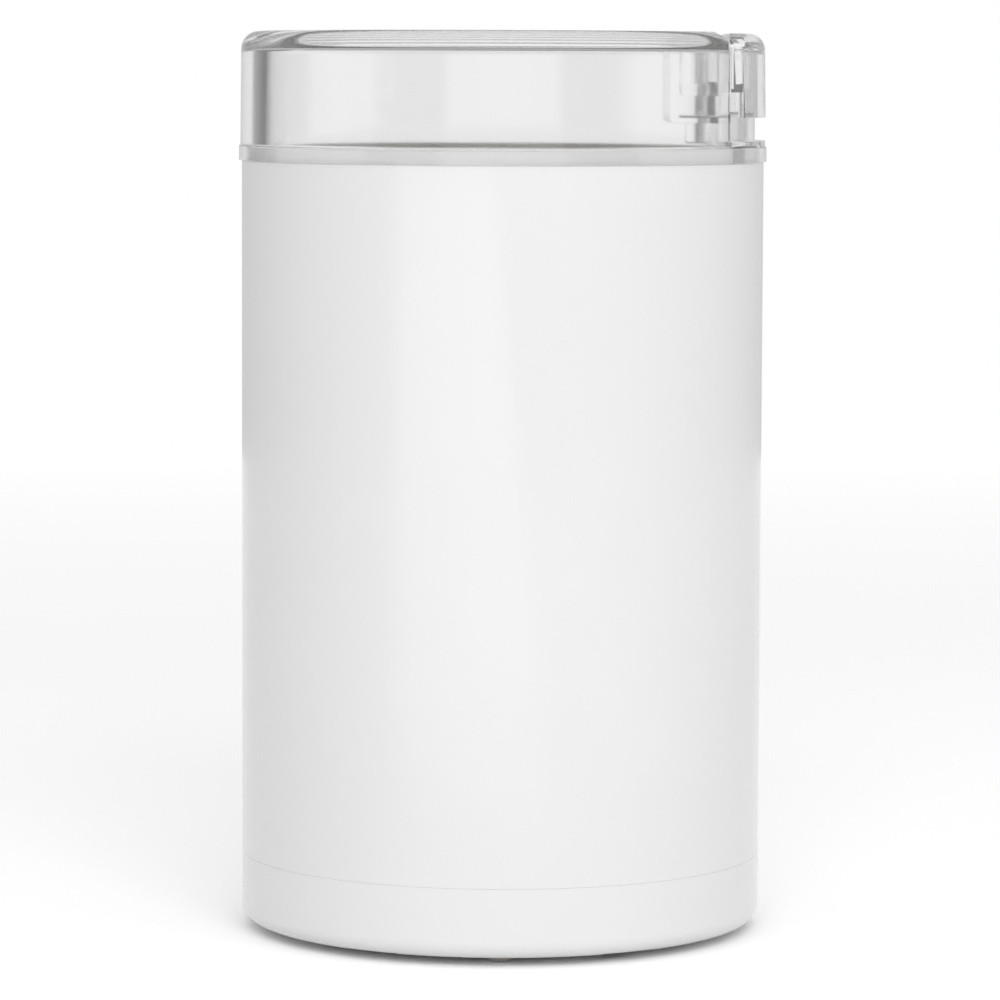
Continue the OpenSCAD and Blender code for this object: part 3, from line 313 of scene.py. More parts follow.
@dataclass(frozen=True)
class Layers:
    """A pack of equal layers, such as enamelled wire turns or stamped sheets."""

    name: str
    light: str
    dark: str
    roughness: float
    pitch_mm: float
    depth_mm: float
    along: tuple[float, float, float]
    patch_mm: float = 3.0
    patchy: Span = (0.85, 1.15)

    def make(self) -> bpy.types.Material:
        """Returns the material."""
        material, tree, out = open_material(self.name)
        where = in_millimetres(tree)
        drift = add_node(tree, "VectorMath", {0: where, 1: self.along}, operation="DOT_PRODUCT")
        angle = add_node(tree, "Math", {0: (drift, "Value"), 1: math.tau / self.pitch_mm},
                         operation="MULTIPLY")
        wave = add_node(tree, "Math", {0: (angle, 0)}, operation="SINE")
        rise = add_node(tree, "MapRange", {"Value": (wave, 0), "From Min": -1.0, "From Max": 1.0})
        relief = add_node(tree, "Bump", {"Height": (rise, 0), "Distance": self.depth_mm * MM})
        patch = add_node(tree, "TexNoise", {"Vector": where, "Scale": 1 / self.patch_mm, "Detail": 3.0})
        colour = add_node(tree, "Mix", {0: (patch, "Fac"), 6: linear(self.light), 7: linear(self.dark)},
                          data_type="RGBA")
        shine = add_node(tree, "MapRange", {
            "Value": (patch, "Fac"), **NOISE_SPAN,
            "To Min": self.roughness * self.patchy[0], "To Max": self.roughness * self.patchy[1]})
        skin = add_node(tree, "BsdfPrincipled", {
            "Base Color": (colour, 2), "Metallic": 1.0, "Roughness": (shine, 0), "Normal": (relief, 0)})
        tree.links.new(skin.outputs[0], out.inputs["Surface"])
        return material


Finish = MouldedPlastic | ClearPlastic | SoftRubber | BareMetal | Layers

# Moulded plastics: name, light and dark colour, roughness, the texture's size and depth, the index of
# refraction and the size of the flow shades

# Gloss ABS from a polished mould: near white, with a crisp sheen along the shell
WHITE_SHELL = MouldedPlastic("white_abs_gloss", "#F3F3F3", "#F0F0F0", 0.14, 1.6, 0.0012)
# Natural nylon: milky, duller, with a matt mould texture
NATURAL_NYLON = MouldedPlastic("natural_nylon", "#E2E1DF", "#D7D6D4", 0.45, 0.5, 0.01, 1.53, 9.0)
# Glass-filled black nylon: dark grey with fibres that show as a dry grain
BLACK_NYLON = MouldedPlastic("black_glass_nylon", "#1D1D1F", "#151517", 0.5, 0.35, 0.012, 1.53, 7.0)
# Red acetal, smooth and slightly waxy
RED_ACETAL = MouldedPlastic("red_acetal", "#A8201A", "#981B16", 0.3, 0.4, 0.003, 1.48, 4.0)
# Phenolic resin: brown, with a dull pressed skin
BROWN_RESIN = MouldedPlastic("phenolic_resin", "#4A2A18", "#3A2013", 0.42, 0.3, 0.008, 1.6, 5.0)
# Capacitor case: hard yellow epoxy, fairly glossy
YELLOW_CASE = MouldedPlastic("capacitor_case", "#D9A11E", "#C99318", 0.25, 0.6, 0.004, 1.55, 6.0)
# Pressed carbon of the brushes: nearly black with a graphite sheen
PRESSED_CARBON = MouldedPlastic("pressed_carbon", "#2B2B2D", "#1C1C1E", 0.38, 0.2, 0.01, 1.8, 3.0)

# Clear plastics: name, tint, roughness, the waves' size and depth

# Clear SAN: water clear, with dark streaks where a rounded edge bends the room's flags into view
CLEAR_LID = ClearPlastic("clear_san", "#FFFFFF", 0.04, 14.0, 0.0015)
# The same SAN in the button, whose thin walls came out of the mould with sharper lines
CLEAR_BUTTON = ClearPlastic("clear_san_button", "#FFFFFF", 0.015, 10.0, 0.0015)

# Rubbers: name, light and dark colour, roughness and how far light glows through

# Clear silicone of the feet, greyed by the white base behind it
FOOT_SILICONE = SoftRubber("clear_silicone", "#C9C7C2", "#BCBAB5", 0.4, 0.35)
# Grey silicone of the seals: dull, with a soft dusty skin
GREY_SILICONE = SoftRubber("grey_silicone", "#A5A4A0", "#989793", 0.5, 0.1)
# Nitrile rubber of the lip seal and the dampers: deep black and fully matt
BLACK_RUBBER = SoftRubber("black_nitrile", "#191919", "#121212", 0.6)

# Metals: name, light and dark colour, roughness, grain, the grain's size and depth, and anisotropy

# Stainless sheet spun into the bowl: fine rings and a drawn-out gloss round the wall
SPUN_STEEL = BareMetal("spun_stainless", "#CFCDC8", "#C3C1BC", 0.24, Grain.SPUN, 0.5, 0.004, 0.4)
# Stainless strip of the blade: straight grinding marks that break up the gloss
GROUND_STEEL = BareMetal("ground_stainless", "#C9C9C8", "#B5B5B4", 0.26, Grain.GROUND, 0.35, 0.006, 0.3)
# Polished stainless of the nuts: bright and nearly mirror-smooth
POLISHED_STEEL = BareMetal("polished_stainless", "#D6D5D2", "#CBCAC7", 0.14, Grain.PLATED, 0.8, 0.001)
# Turned steel of the shaft: cooler grey, with the rings of the lathe
SHAFT_STEEL = BareMetal("turned_steel", "#B9B9BB", "#A9A9AC", 0.24, Grain.SPUN, 0.25, 0.003, 0.3)
# Zinc-plated screws: a bluish grey with faint clouds
ZINC_STEEL = BareMetal("zinc_plated_steel", "#C3C7CC", "#AEB4BC", 0.3, Grain.PLATED, 0.6, 0.002)
# Bare spring steel: darker and browner, slightly oiled
SPRING_STEEL = BareMetal("spring_steel", "#9C9B98", "#84837F", 0.3, Grain.PLATED, 0.4, 0.002)
# Die-cast aluminium of the bracket: pale, dull and pebbled
CAST_ALUMINIUM = BareMetal("die_cast_aluminium", "#B4B5B5", "#A0A1A2", 0.48, Grain.CAST, 0.45, 0.02)
# Turned copper of the commutator: orange with fine rings
TURNED_COPPER = BareMetal("turned_copper", "#C98A63", "#B97852", 0.26, Grain.SPUN, 0.3, 0.004, 0.3)
# Pressed brass of holders and terminals: warm yellow, smooth
PRESSED_BRASS = BareMetal("pressed_brass", "#CDB06A", "#B99A55", 0.3, Grain.PLATED, 0.7, 0.003)
# Sintered bronze of the bearings: brown, porous and dull
SINTERED_BRONZE = BareMetal("sintered_bronze", "#9A7A4A", "#82653B", 0.5, Grain.CAST, 0.2, 0.01)

# Layers: name, light and dark colour, roughness, the layers' pitch and depth, and their direction

# Enamelled copper turns: a red-brown bundle of glossy ridges
COPPER_TURNS = Layers("enamelled_copper", "#A4552B", "#8A431F", 0.3, 0.42, 0.06, (0.35, 0.35, 0.87))
# Electrical steel stamped in sheets of 0.5 mm: dark grey with a fine edge at each sheet
SHEET_STACK = Layers("electrical_steel", "#6E7076", "#595B61", 0.45, 0.5, 0.03, (0.0, 0.0, 1.0))


# ---------------------------------------------------------------- modelling tools

# Faces round a full drum, and round the small ring, hole and pin
AROUND = 256
AROUND_SMALL = 64
# Corners closer than this are one corner, in millimetres
MERGE_MM = 0.002
# A chain of Booleans can leave a small face out: gaps of up to this many edges are closed
GAP_EDGES = 6
# Faces that meet at a smaller angle are shaded as one round
SMOOTH_DEGREES = 30


def settle(name: str) -> Piece:
    """Names the new primitive and moves its place and size into its mesh.

    Args:
        name: the piece's name.

    Returns:
        The piece, at the origin, unturned and unscaled.
    """
    piece = bpy.context.object
    piece.name = piece.data.name = name
    bpy.ops.object.transform_apply(location=True, rotation=True, scale=True)
    return piece


def add_drum(name: str, radius: float, z: Span, x: float = 0.0, sides: int = AROUND) -> Piece:
    """Adds an upright cylinder to shape.

    Args:
        name: the piece's name.
        radius: its radius in millimetres.
        z: its lowest and highest place in millimetres.
        x: where its axis stands.
        sides: how many faces go round it.

    Returns:
        The cylinder.
    """
    bpy.ops.object.select_all(action="DESELECT")
    bpy.ops.mesh.primitive_cylinder_add(vertices=sides, radius=radius * MM, depth=(z[1] - z[0]) * MM,
                                        location=(x * MM, 0.0, (z[0] + z[1]) / 2 * MM))
    return settle(name)


def add_slab(name: str, x: Span, y: Span, z: Span) -> Piece:
    """Adds a block to shape.

    Args:
        name: the piece's name.
        x: its left and right in millimetres.
        y: its front and back.
        z: its lowest and highest place.

    Returns:
        The block.
    """
    bpy.ops.object.select_all(action="DESELECT")
    bpy.ops.mesh.primitive_cube_add(size=MM, location=[(low + high) / 2 * MM for low, high in (x, y, z)],
                                    scale=[high - low for low, high in (x, y, z)])
    return settle(name)


@contextmanager
def shaping(piece: Piece) -> Iterator[None]:
    """Keeps one piece in edit mode while it is shaped.

    Args:
        piece: the piece to shape.

    Yields:
        Nothing: the piece is the one in edit mode.
    """
    bpy.ops.object.select_all(action="DESELECT")
    piece.select_set(True)
    bpy.context.view_layer.objects.active = piece
    bpy.ops.object.mode_set(mode="EDIT")
    yield
    bpy.ops.object.mode_set(mode="OBJECT")


def pick(kind: str, inside: Callable[[Vector], bool]) -> None:
    """Selects parts of the piece in edit mode by their place.

    Args:
        kind: VERT, EDGE or FACE.
        inside: says of a corner's place in millimetres whether it counts; all corners have to.
    """
    bpy.ops.mesh.select_mode(type=kind)
    bpy.ops.mesh.select_all(action="DESELECT")
    data = bpy.context.object.data
    mesh = bmesh.from_edit_mesh(data)
    for element in {"VERT": mesh.verts, "EDGE": mesh.edges, "FACE": mesh.faces}[kind]:
        corners = [element] if kind == "VERT" else element.verts
        element.select_set(all(inside(corner.co / MM) for corner in corners))
    mesh.select_flush_mode()
    bmesh.update_edit_mesh(data)


def soften(inside: Callable[[Vector], bool], radius: float, steps: int = 3) -> None:
    """Rounds the edges at a place.

    Args:
        inside: picks the edges by their corners, in millimetres; both corners have to count.
        radius: the round in millimetres.
        steps: how many faces make the round.
    """
    pick("EDGE", inside)
    bpy.ops.mesh.bevel(offset=radius * MM, offset_type="OFFSET", segments=steps, profile=0.5,
                       affect="EDGES", clamp_overlap=True)


def at(value: float, target: float, slack: float = 0.01) -> bool:
    """Says whether two lengths in millimetres agree.

    Args:
        value: the first.
        target: the second.
        slack: how far they may lie apart.

    Returns:
        True where they agree.
    """
    return abs(value - target) < slack


def taper(z: float, radius: float, target: float) -> None:
    """Draws a round piece in at one height, as mould draft does.

    Args:
        z: the height of the ring in millimetres.
        radius: its radius there now.
        target: its radius afterwards.
    """
    pick("VERT", lambda p: at(p.z, z))
    share = target / radius
    bpy.ops.transform.resize(value=(share, share, 1.0), center_override=(0.0, 0.0, z * MM))


def trim(place: tuple[float, float], lean: tuple[float, float]) -> None:
    """Cuts away all of the piece that lies past a plane, and closes the cut.

    Args:
        place: X and Z of a line in the plane, in millimetres.
        lean: X and Z of the direction that points to the side cut away.
    """
    bpy.ops.mesh.select_mode(type="VERT")
    bpy.ops.mesh.select_all(action="SELECT")
    bpy.ops.mesh.bisect(plane_co=(place[0] * MM, 0.0, place[1] * MM), plane_no=(lean[0], 0.0, lean[1]),
                        use_fill=True, clear_outer=True)


def trim_round(corner: tuple[float, float], side: tuple[int, int], radius: float, steps: int = 3) -> None:
    """Rounds a straight edge along Y by cuts that touch its round, through whatever it meets.

    Args:
        corner: X and Z of the edge in millimetres.
        side: the edge's direction from the middle of the piece, such as (-1, 1).
        radius: the round in millimetres.
        steps: how many cuts make it.
    """
    for step in range(steps):
        angle = math.pi / 2 * (step + 0.5) / steps
        lean = (side[0] * math.cos(angle), side[1] * math.sin(angle))
        touch = [c + radius * (way - s) for c, way, s in zip(corner, lean, side)]
        trim((touch[0], touch[1]), lean)


def combine(piece: Piece, tools: list[Piece], operation: str) -> None:
    """Adds other solids to a piece or cuts them out of it, one after the other.

    Args:
        piece: the solid that stays.
        tools: the solids that are used up.
        operation: UNION or DIFFERENCE.
    """
    for tool in tools:
        bpy.ops.object.select_all(action="DESELECT")
        piece.select_set(True)
        bpy.context.view_layer.objects.active = piece
        bpy.ops.object.modifier_add(type="BOOLEAN")
        cut = piece.modifiers[-1]
        cut.object, cut.operation, cut.solver = tool, operation, "EXACT"
        bpy.ops.object.modifier_apply(modifier=cut.name)
        bpy.data.objects.remove(tool)
        with shaping(piece):
            bpy.ops.mesh.select_all(action="SELECT")
            bpy.ops.mesh.remove_doubles(threshold=MERGE_MM * MM)
            bpy.ops.mesh.dissolve_degenerate(threshold=MERGE_MM * MM)


def complete(piece: Piece, finish: Finish, body: str, node: str) -> None:
    """Cleans the mesh, smooths its rounds, gives it its finish and seats it on its body.

    Args:
        piece: the shaped piece.
        finish: its finish.
        body: the body that it rides on.
        node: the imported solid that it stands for.
    """
    with shaping(piece):
        bpy.ops.mesh.select_all(action="SELECT")
        bpy.ops.mesh.remove_doubles(threshold=MERGE_MM * MM)
        bpy.ops.mesh.fill_holes(sides=GAP_EDGES)
        bpy.ops.mesh.normals_make_consistent(inside=False)
    bpy.ops.object.shade_smooth_by_angle(angle=math.radians(SMOOTH_DEGREES))
    bpy.ops.object.modifier_add(type="WEIGHTED_NORMAL")
    even = piece.modifiers[-1]
    even.keep_sharp = True
    bpy.ops.object.modifier_apply(modifier=even.name)
    piece.data.materials.clear()
    piece.data.materials.append(finish.make())
    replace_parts(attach(piece, body), node)
    log.info("modelled %s with %d faces", piece.name, len(piece.data.polygons))


# ---------------------------------------------------------------- pieces

def dress(finish: Finish, *nodes: str) -> None:
    """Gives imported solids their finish.

    Args:
        finish: the finish that they share.
        nodes: the names of the solids.
    """
    material = finish.make()
    for name in nodes:
        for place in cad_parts[name].material_slots:
            place.material = material
        log.info("dressed %s with %s", name, finish.name)


@dataclass
class Shell:
    """The white outside: housing, base cover, feet, screws and cord gland."""

    def build(self) -> None:
        """Dresses the shell's pieces."""
        dress(WHITE_SHELL, "housing", "base_cover")
        dress(FOOT_SILICONE, "feet")
        dress(GREY_SILICONE, "cord_gland")
        dress(ZINC_STEEL, "base_screws")


@dataclass
class GrindingChamber:
    """The bowl with its seals and nut, and the blade on its shaft."""

    def build(self) -> None:
        """Dresses the chamber's pieces."""
        dress(SPUN_STEEL, "grinding_bowl")
        dress(GREY_SILICONE, "bowl_gasket", "bowl_seal", "nut_washer")
        dress(BLACK_RUBBER, "shaft_seal")
        dress(GROUND_STEEL, "blade")
        dress(POLISHED_STEEL, "bowl_nut", "blade_nut")
        dress(SHAFT_STEEL, "blade_spacer", "motor_shaft")
        dress(SINTERED_BRONZE, "top_bush")


@dataclass
class Motor:
    """The universal motor with its carriers, brushes and fan."""

    def build(self) -> None:
        """Dresses the motor's pieces."""
        dress(NATURAL_NYLON, "motor_mount", "cooling_fan", "thrust_washers")
        dress(BLACK_RUBBER, "mount_dampers")
        dress(ZINC_STEEL, "mount_screws", "bracket_screws", "frame_bolts")
        dress(CAST_ALUMINIUM, "upper_bracket")
        dress(BLACK_NYLON, "lower_bracket", "brush_caps")
        dress(SHEET_STACK, "stator_core", "rotor_core")
        dress(COPPER_TURNS, "field_coils", "rotor_windings")
        dress(SINTERED_BRONZE, "upper_bearing", "lower_bearing")
        dress(BROWN_RESIN, "commutator_hub")
        dress(TURNED_COPPER, "commutator_bars")
        dress(PRESSED_BRASS, "brush_holders")
        dress(PRESSED_CARBON, "carbon_brushes")
        dress(SPRING_STEEL, "brush_springs")


@dataclass
class SwitchGear:
    """The push rod, its spring and the micro switch, with the suppression capacitor."""

    # How far the rod goes down, in millimetres
    travel: float = 3.5

    def spring(self) -> None:
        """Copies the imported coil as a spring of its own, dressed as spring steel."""
        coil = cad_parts["rod_spring"]
        spring = bpy.data.objects.new("coil_spring", coil.data.copy())
        bpy.context.scene.collection.objects.link(spring)
        complete(spring, SPRING_STEEL, "base", "rod_spring")
        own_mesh(spring)

    def build(self) -> None:
        """Dresses the switch gear."""
        dress(NATURAL_NYLON, "push_rod")
        self.spring()
        dress(SPRING_STEEL, "lever_pin", "switch_lever")
        dress(BLACK_NYLON, "switch_body")
        dress(PRESSED_BRASS, "switch_terminals")
        dress(ZINC_STEEL, "switch_screws")
        dress(RED_ACETAL, "switch_pin")
        dress(YELLOW_CASE, "capacitor")


@dataclass
class ClearLid:
    """The clear lid: a drum with a flange, and at its right the bay, pocket and guide of the button.

    All sizes are in millimetres. X runs to the button, and z is the height over the table.
    """

    # The drum, its rim and its flange
    radius: float = 49.3
    draft: float = 0.25
    bottom: float = 145.0
    top: float = 169.05
    rim_round: float = 3.3
    flange_step: float = 0.25
    flange_top: float = 147.8
    flange_rounds: Span = (0.18, 0.12)
    # The rooms inside: over the bowl, round the collar and over the deck
    room_radius: float = 44.6
    room_top: float = 165.85
    room_round: float = 0.8
    skirt_radius: float = 48.1
    ledge_under: float = 147.6
    ledge_top: float = 148.9
    deck_room: float = 148.1
    deck_room_side: float = 0.6
    # The bay of the button: where its wall stands, and how far the wall leans in at the rim
    bay: float = 41.1
    bay_wall: float = 1.6
    bay_slope: Span = (2.7, 1.4)
    # The pocket that takes the hook, its room, and the post under it
    pocket_x: float = 30.7
    pocket_half: float = 9.0
    pocket_low: float = 152.2
    pocket_rounds: Span = (1.2, 0.6)
    pocket_room_x: float = 32.5
    pocket_room_half: float = 7.2
    pocket_room_low: float = 153.2
    post_x: Span = (34.5, 38.5)
    post_half: float = 2.0
    post_z: Span = (148.4, 152.7)
    post_round: float = 0.4
    # The curb behind the button's skirt and the ring round its pin
    guide_top: float = 154.2
    curb_radius: Span = (46.2, 47.3)
    curb_start: float = 40.6
    ring_radius: float = 3.3
    # The slot for the hook's arm and the hole for the pin
    slot_x: Span = (38.5, 43.1)
    slot_half: float = 6.5
    slot_z: Span = (153.45, 159.85)
    hole_radius: float = 2.4
    hole_top: float = 155.0
    rod_x: float = 43.65
    # The round of small edges, of inner corners, and how far a tool reaches past what it meets
    edge: float = 0.35
    corner: float = 0.5
    cut: float = 0.6

    def drum(self) -> Piece:
        """Returns the outside: the drum with its rounded rim and its flange."""
        lid = add_drum("clear_lid", self.radius, (self.bottom, self.top))
        with shaping(lid):
            taper(self.top, self.radius, self.radius - self.draft)
            soften(lambda p: at(p.z, self.top), self.rim_round, steps=12)
            bpy.ops.mesh.select_all(action="SELECT")
            bpy.ops.mesh.bisect(plane_co=(0.0, 0.0, self.flange_top * MM), plane_no=(0.0, 0.0, 1.0))
            self.raise_flange(lid)
            outer = self.radius + self.flange_step / 2
            upper, lower = self.flange_rounds
            soften(lambda p: at(p.z, self.flange_top, slack=0.05) and math.hypot(p.x, p.y) > outer, upper)
            soften(lambda p: at(p.z, self.bottom) and math.hypot(p.x, p.y) > outer, lower, steps=2)
        return lid

    def raise_flange(self, lid: Piece) -> None:
        """Pushes the lowest band of the wall outwards.

        Args:
            lid: the drum, in edit mode.
        """
        pick("FACE", lambda p: at(p.z, self.bottom) or at(p.z, self.flange_top))
        mesh = bmesh.from_edit_mesh(lid.data)
        for face in mesh.faces:
            upright = abs(face.normal.z) < 0.5
            face.select_set(face.select and upright)
        bmesh.update_edit_mesh(lid.data)
        bpy.ops.mesh.extrude_region_shrink_fatten(
            TRANSFORM_OT_shrink_fatten={"value": self.flange_step * MM})

    def bay_space(self) -> Piece:
        """Returns the space beside the lid that the button fills, leaning in at the rim."""
        reach, half, over = 20.0, 60.0, 12.0
        space = add_slab("bay_space", (self.bay, self.bay + reach), (-half, half),
                         (self.ledge_top, self.top + over))
        slope_z = self.top - self.bay_slope[1]
        lean = (self.top + over - slope_z) * self.bay_slope[0] / self.bay_slope[1]
        with shaping(space):
            bpy.ops.mesh.select_all(action="SELECT")
            bpy.ops.mesh.bisect(plane_co=(0.0, 0.0, slope_z * MM), plane_no=(0.0, 0.0, 1.0))
            pick("VERT", lambda p: at(p.z, self.top + over) and at(p.x, self.bay))
            bpy.ops.transform.translate(value=(-lean * MM, 0.0, 0.0))
            soften(lambda p: at(p.z, slope_z) and at(p.x, self.bay), self.edge * 2, steps=4)
        return space

    def rooms(self) -> list[Piece]:
        """Returns the room round the collar, the deck's step and the room over the bowl."""
        wall = self.bay - self.bay_wall
        skirt = add_drum("skirt_room", self.skirt_radius, (self.bottom - self.cut, self.ledge_under))
        step = add_drum("deck_room", self.skirt_radius, (self.bottom, self.deck_room))
        with shaping(step):
            trim((self.bay + self.deck_room_side, 0.0), (1.0, 0.0))
        room = add_drum("room", self.room_radius, (self.bottom - self.cut, self.room_top))
        with shaping(room):
            taper(self.room_top, self.room_radius, self.room_radius - self.draft)
            soften(lambda p: at(p.z, self.room_top), self.room_round, steps=5)
            trim((wall, 0.0), (1.0, 0.0))
            trim_round((wall, self.room_top), (1, 1), self.room_round)
        return [skirt, step, room]

    def pocket(self) -> list[Piece]:
        """Returns the block under the lid top that takes the button's hook, with its post."""
        block = add_slab("pocket_block", (self.pocket_x, self.bay - self.bay_wall / 2),
                         (-self.pocket_half, self.pocket_half), (self.pocket_low, self.room_top + self.cut))
        lowest, front = self.pocket_rounds
        with shaping(block):
            soften(lambda p: at(p.z, self.pocket_low) and at(p.x, self.pocket_x), lowest, steps=5)
            soften(lambda p: at(p.x, self.pocket_x), front)
            soften(lambda p: at(p.z, self.pocket_low), self.edge, steps=2)
        post = add_slab("post", self.post_x, (-self.post_half, self.post_half), self.post_z)
        with shaping(post):
            soften(lambda p: at(p.z, self.post_z[0]), self.post_round)
        return [block, post]

    def guide(self) -> list[Piece]:
        """Returns the curb behind the button's skirt and the ring round its pin."""
        inner_radius, outer_radius = self.curb_radius
        foot = self.ledge_under + self.cut
        curb = add_drum("curb", outer_radius, (foot, self.guide_top))
        inner = add_drum("curb_inner", inner_radius, (self.ledge_under, self.hole_top))
        with shaping(curb):
            soften(lambda p: at(p.z, self.guide_top), self.edge)
        combine(curb, [inner], "DIFFERENCE")
        with shaping(curb):
            trim((self.curb_start, 0.0), (-1.0, 0.0))
        ring = add_drum("guide_ring", self.ring_radius, (foot, self.guide_top), self.rod_x, AROUND_SMALL)
        with shaping(ring):
            soften(lambda p: at(p.z, self.guide_top), self.edge)
        return [curb, ring]

    def openings(self) -> list[Piece]:
        """Returns the pocket's room, the slot for the hook and the hole for the pin."""
        half, low = self.pocket_room_half, self.pocket_room_low
        room = add_slab("pocket_room", (self.pocket_room_x, self.bay - self.bay_wall), (-half, half),
                        (low, self.room_top))
        with shaping(room):
            soften(lambda p: at(p.z, low), self.corner)
            soften(lambda p: at(p.z, self.room_top) and at(p.x, self.pocket_room_x), self.corner)
        slot = add_slab("hook_slot", self.slot_x, (-self.slot_half, self.slot_half), self.slot_z)
        hole = add_drum("pin_hole", self.hole_radius, (self.bottom, self.hole_top), self.rod_x, AROUND_SMALL)
        return [room, slot, hole]

    def build(self) -> None:
        """Models the lid and seats it."""
        lid = self.drum()
        combine(lid, [self.bay_space(), *self.rooms()], "DIFFERENCE")
        combine(lid, [*self.pocket(), *self.guide()], "UNION")
        combine(lid, self.openings(), "DIFFERENCE")
        complete(lid, CLEAR_LID, "lid", "lid")


@dataclass
class ClearButton:
    """The clear push button: a cap in the lid's bay with a hook inwards and a pin down to the rod.

    All sizes are in millimetres, placed as the lid's are.
    """

    # The cap: its outside, and the straight side that faces the lid
    radius: float = 49.3
    draft: float = 0.25
    top: float = 168.85
    cap_round: float = 3.0
    skirt: float = 153.3
    skirt_edge: float = 0.3
    side: float = 41.4
    side_wall: float = 1.7
    side_low: float = 158.0
    side_edge: float = 0.8
    # The room in the cap
    inner_radius: float = 47.6
    inner_top: float = 166.85
    inner_round: float = 2.0
    # The hook: its arm and its upright end
    hook_x: float = 33.1
    hook_half: float = 6.2
    arm_z: Span = (157.25, 159.55)
    arm_round: float = 0.6
    end_wall: float = 1.6
    end_z: Span = (158.0, 165.55)
    end_round: float = 0.5
    # The pin
    rod_x: float = 43.65
    pin_radius: float = 2.1
    pin_low: float = 147.6
    pin_round: float = 0.4
    # How far a tool reaches past what it meets
    cut: float = 0.5

    def cap(self) -> Piece:
        """Returns the cap: a slice of the lid's own round, hollow below."""
        cap = add_drum("clear_button", self.radius, (self.skirt, self.top))
        with shaping(cap):
            taper(self.top, self.radius, self.radius - self.draft)
            soften(lambda p: at(p.z, self.top), self.cap_round, steps=12)
            trim((self.side, 0.0), (-1.0, 0.0))
            trim_round((self.side, self.top), (-1, 1), self.side_edge)
            soften(lambda p: at(p.z, self.skirt) and p.x > self.side + self.cut, self.skirt_edge, steps=2)
        inside = self.side + self.side_wall
        hollow = add_drum("cap_room", self.inner_radius, (self.skirt - self.cut, self.inner_top))
        with shaping(hollow):
            soften(lambda p: at(p.z, self.inner_top), self.inner_round, steps=8)
            trim((inside, 0.0), (-1.0, 0.0))
        below = add_slab("side_cut", (self.side - self.cut, inside), (-self.radius, self.radius),
                         (self.skirt - self.cut, self.side_low))
        combine(cap, [hollow, below], "DIFFERENCE")
        return cap

    def hook(self) -> list[Piece]:
        """Returns the arm into the lid's pocket and its upright end."""
        across = (-self.hook_half, self.hook_half)
        arm = add_slab("arm", (self.hook_x, self.side + self.side_wall / 2), across, self.arm_z)
        with shaping(arm):
            soften(lambda p: at(p.x, self.hook_x) and at(p.z, self.arm_z[0]), self.arm_round)
        end = add_slab("hook_end", (self.hook_x, self.hook_x + self.end_wall), across, self.end_z)
        with shaping(end):
            soften(lambda p: at(p.z, self.end_z[1]), self.end_round)
        return [arm, end]

    def pin(self) -> Piece:
        """Returns the pin that pushes the rod down."""
        pin = add_drum("pin", self.pin_radius, (self.pin_low, self.inner_top + self.cut), self.rod_x,
                       AROUND_SMALL)
        with shaping(pin):
            soften(lambda p: at(p.z, self.pin_low), self.pin_round)
        return pin

    def build(self) -> None:
        """Models the button and seats it."""
        button = self.cap()
        combine(button, [*self.hook(), self.pin()], "UNION")
        complete(button, CLEAR_BUTTON, "button", "lid_button")


# ---------------------------------------------------------------- studio

@dataclass(frozen=True)
class Softbox:
    """A square lamp that looks at the grinder and is not seen in it, with its lengths in metres."""

    name: str
    place: tuple[float, float, float]
    size: float
    power: float
    aim: tuple[float, float, float] = (0.0, 0.0, 0.08)

    def build(self) -> None:
        """Adds the lamp."""
        data = bpy.data.lights.new(self.name, "AREA")
        data.shape, data.size = "SQUARE", self.size
        data.energy = self.power
        lamp = bpy.data.objects.new(self.name, data)
        lamp.location = self.place
        lamp.rotation_euler = (Vector(self.aim) - Vector(self.place)).to_track_quat("-Z", "Y").to_euler()
        lamp.visible_camera = lamp.visible_glossy = lamp.visible_transmission = False
        bpy.context.scene.collection.objects.link(lamp)


@dataclass(frozen=True)
class WindowCard:
    """A bright sheet in front of the grinder that shows only as a gloss, with its sizes in mm."""

    name: str = "window_card"
    side: Span = (-234.0, 80.0)
    height: Span = (0.5, 142.0)
    distance: float = 250.0
    lean: float = 100.0
    brightness: float = 1.6
    thickness: float = 1.0

    def build(self) -> None:
        """Adds the sheet with its right edge leaning in towards the top."""
        card = add_slab(self.name, self.side, (-self.distance - self.thickness, -self.distance),
                        self.height)
        with shaping(card):
            pick("VERT", lambda p: at(p.x, self.side[1]) and at(p.z, self.height[1]))
            bpy.ops.transform.translate(value=(-self.lean * MM, 0.0, 0.0))
        material, tree, out = open_material("lit_cloth")
        glow = add_node(tree, "Emission", {"Color": (1, 1, 1, 1), "Strength": self.brightness})
        tree.links.new(glow.outputs[0], out.inputs["Surface"])
        card.data.materials.append(material)
        card.visible_camera = card.visible_diffuse = card.visible_shadow = card.visible_transmission = False


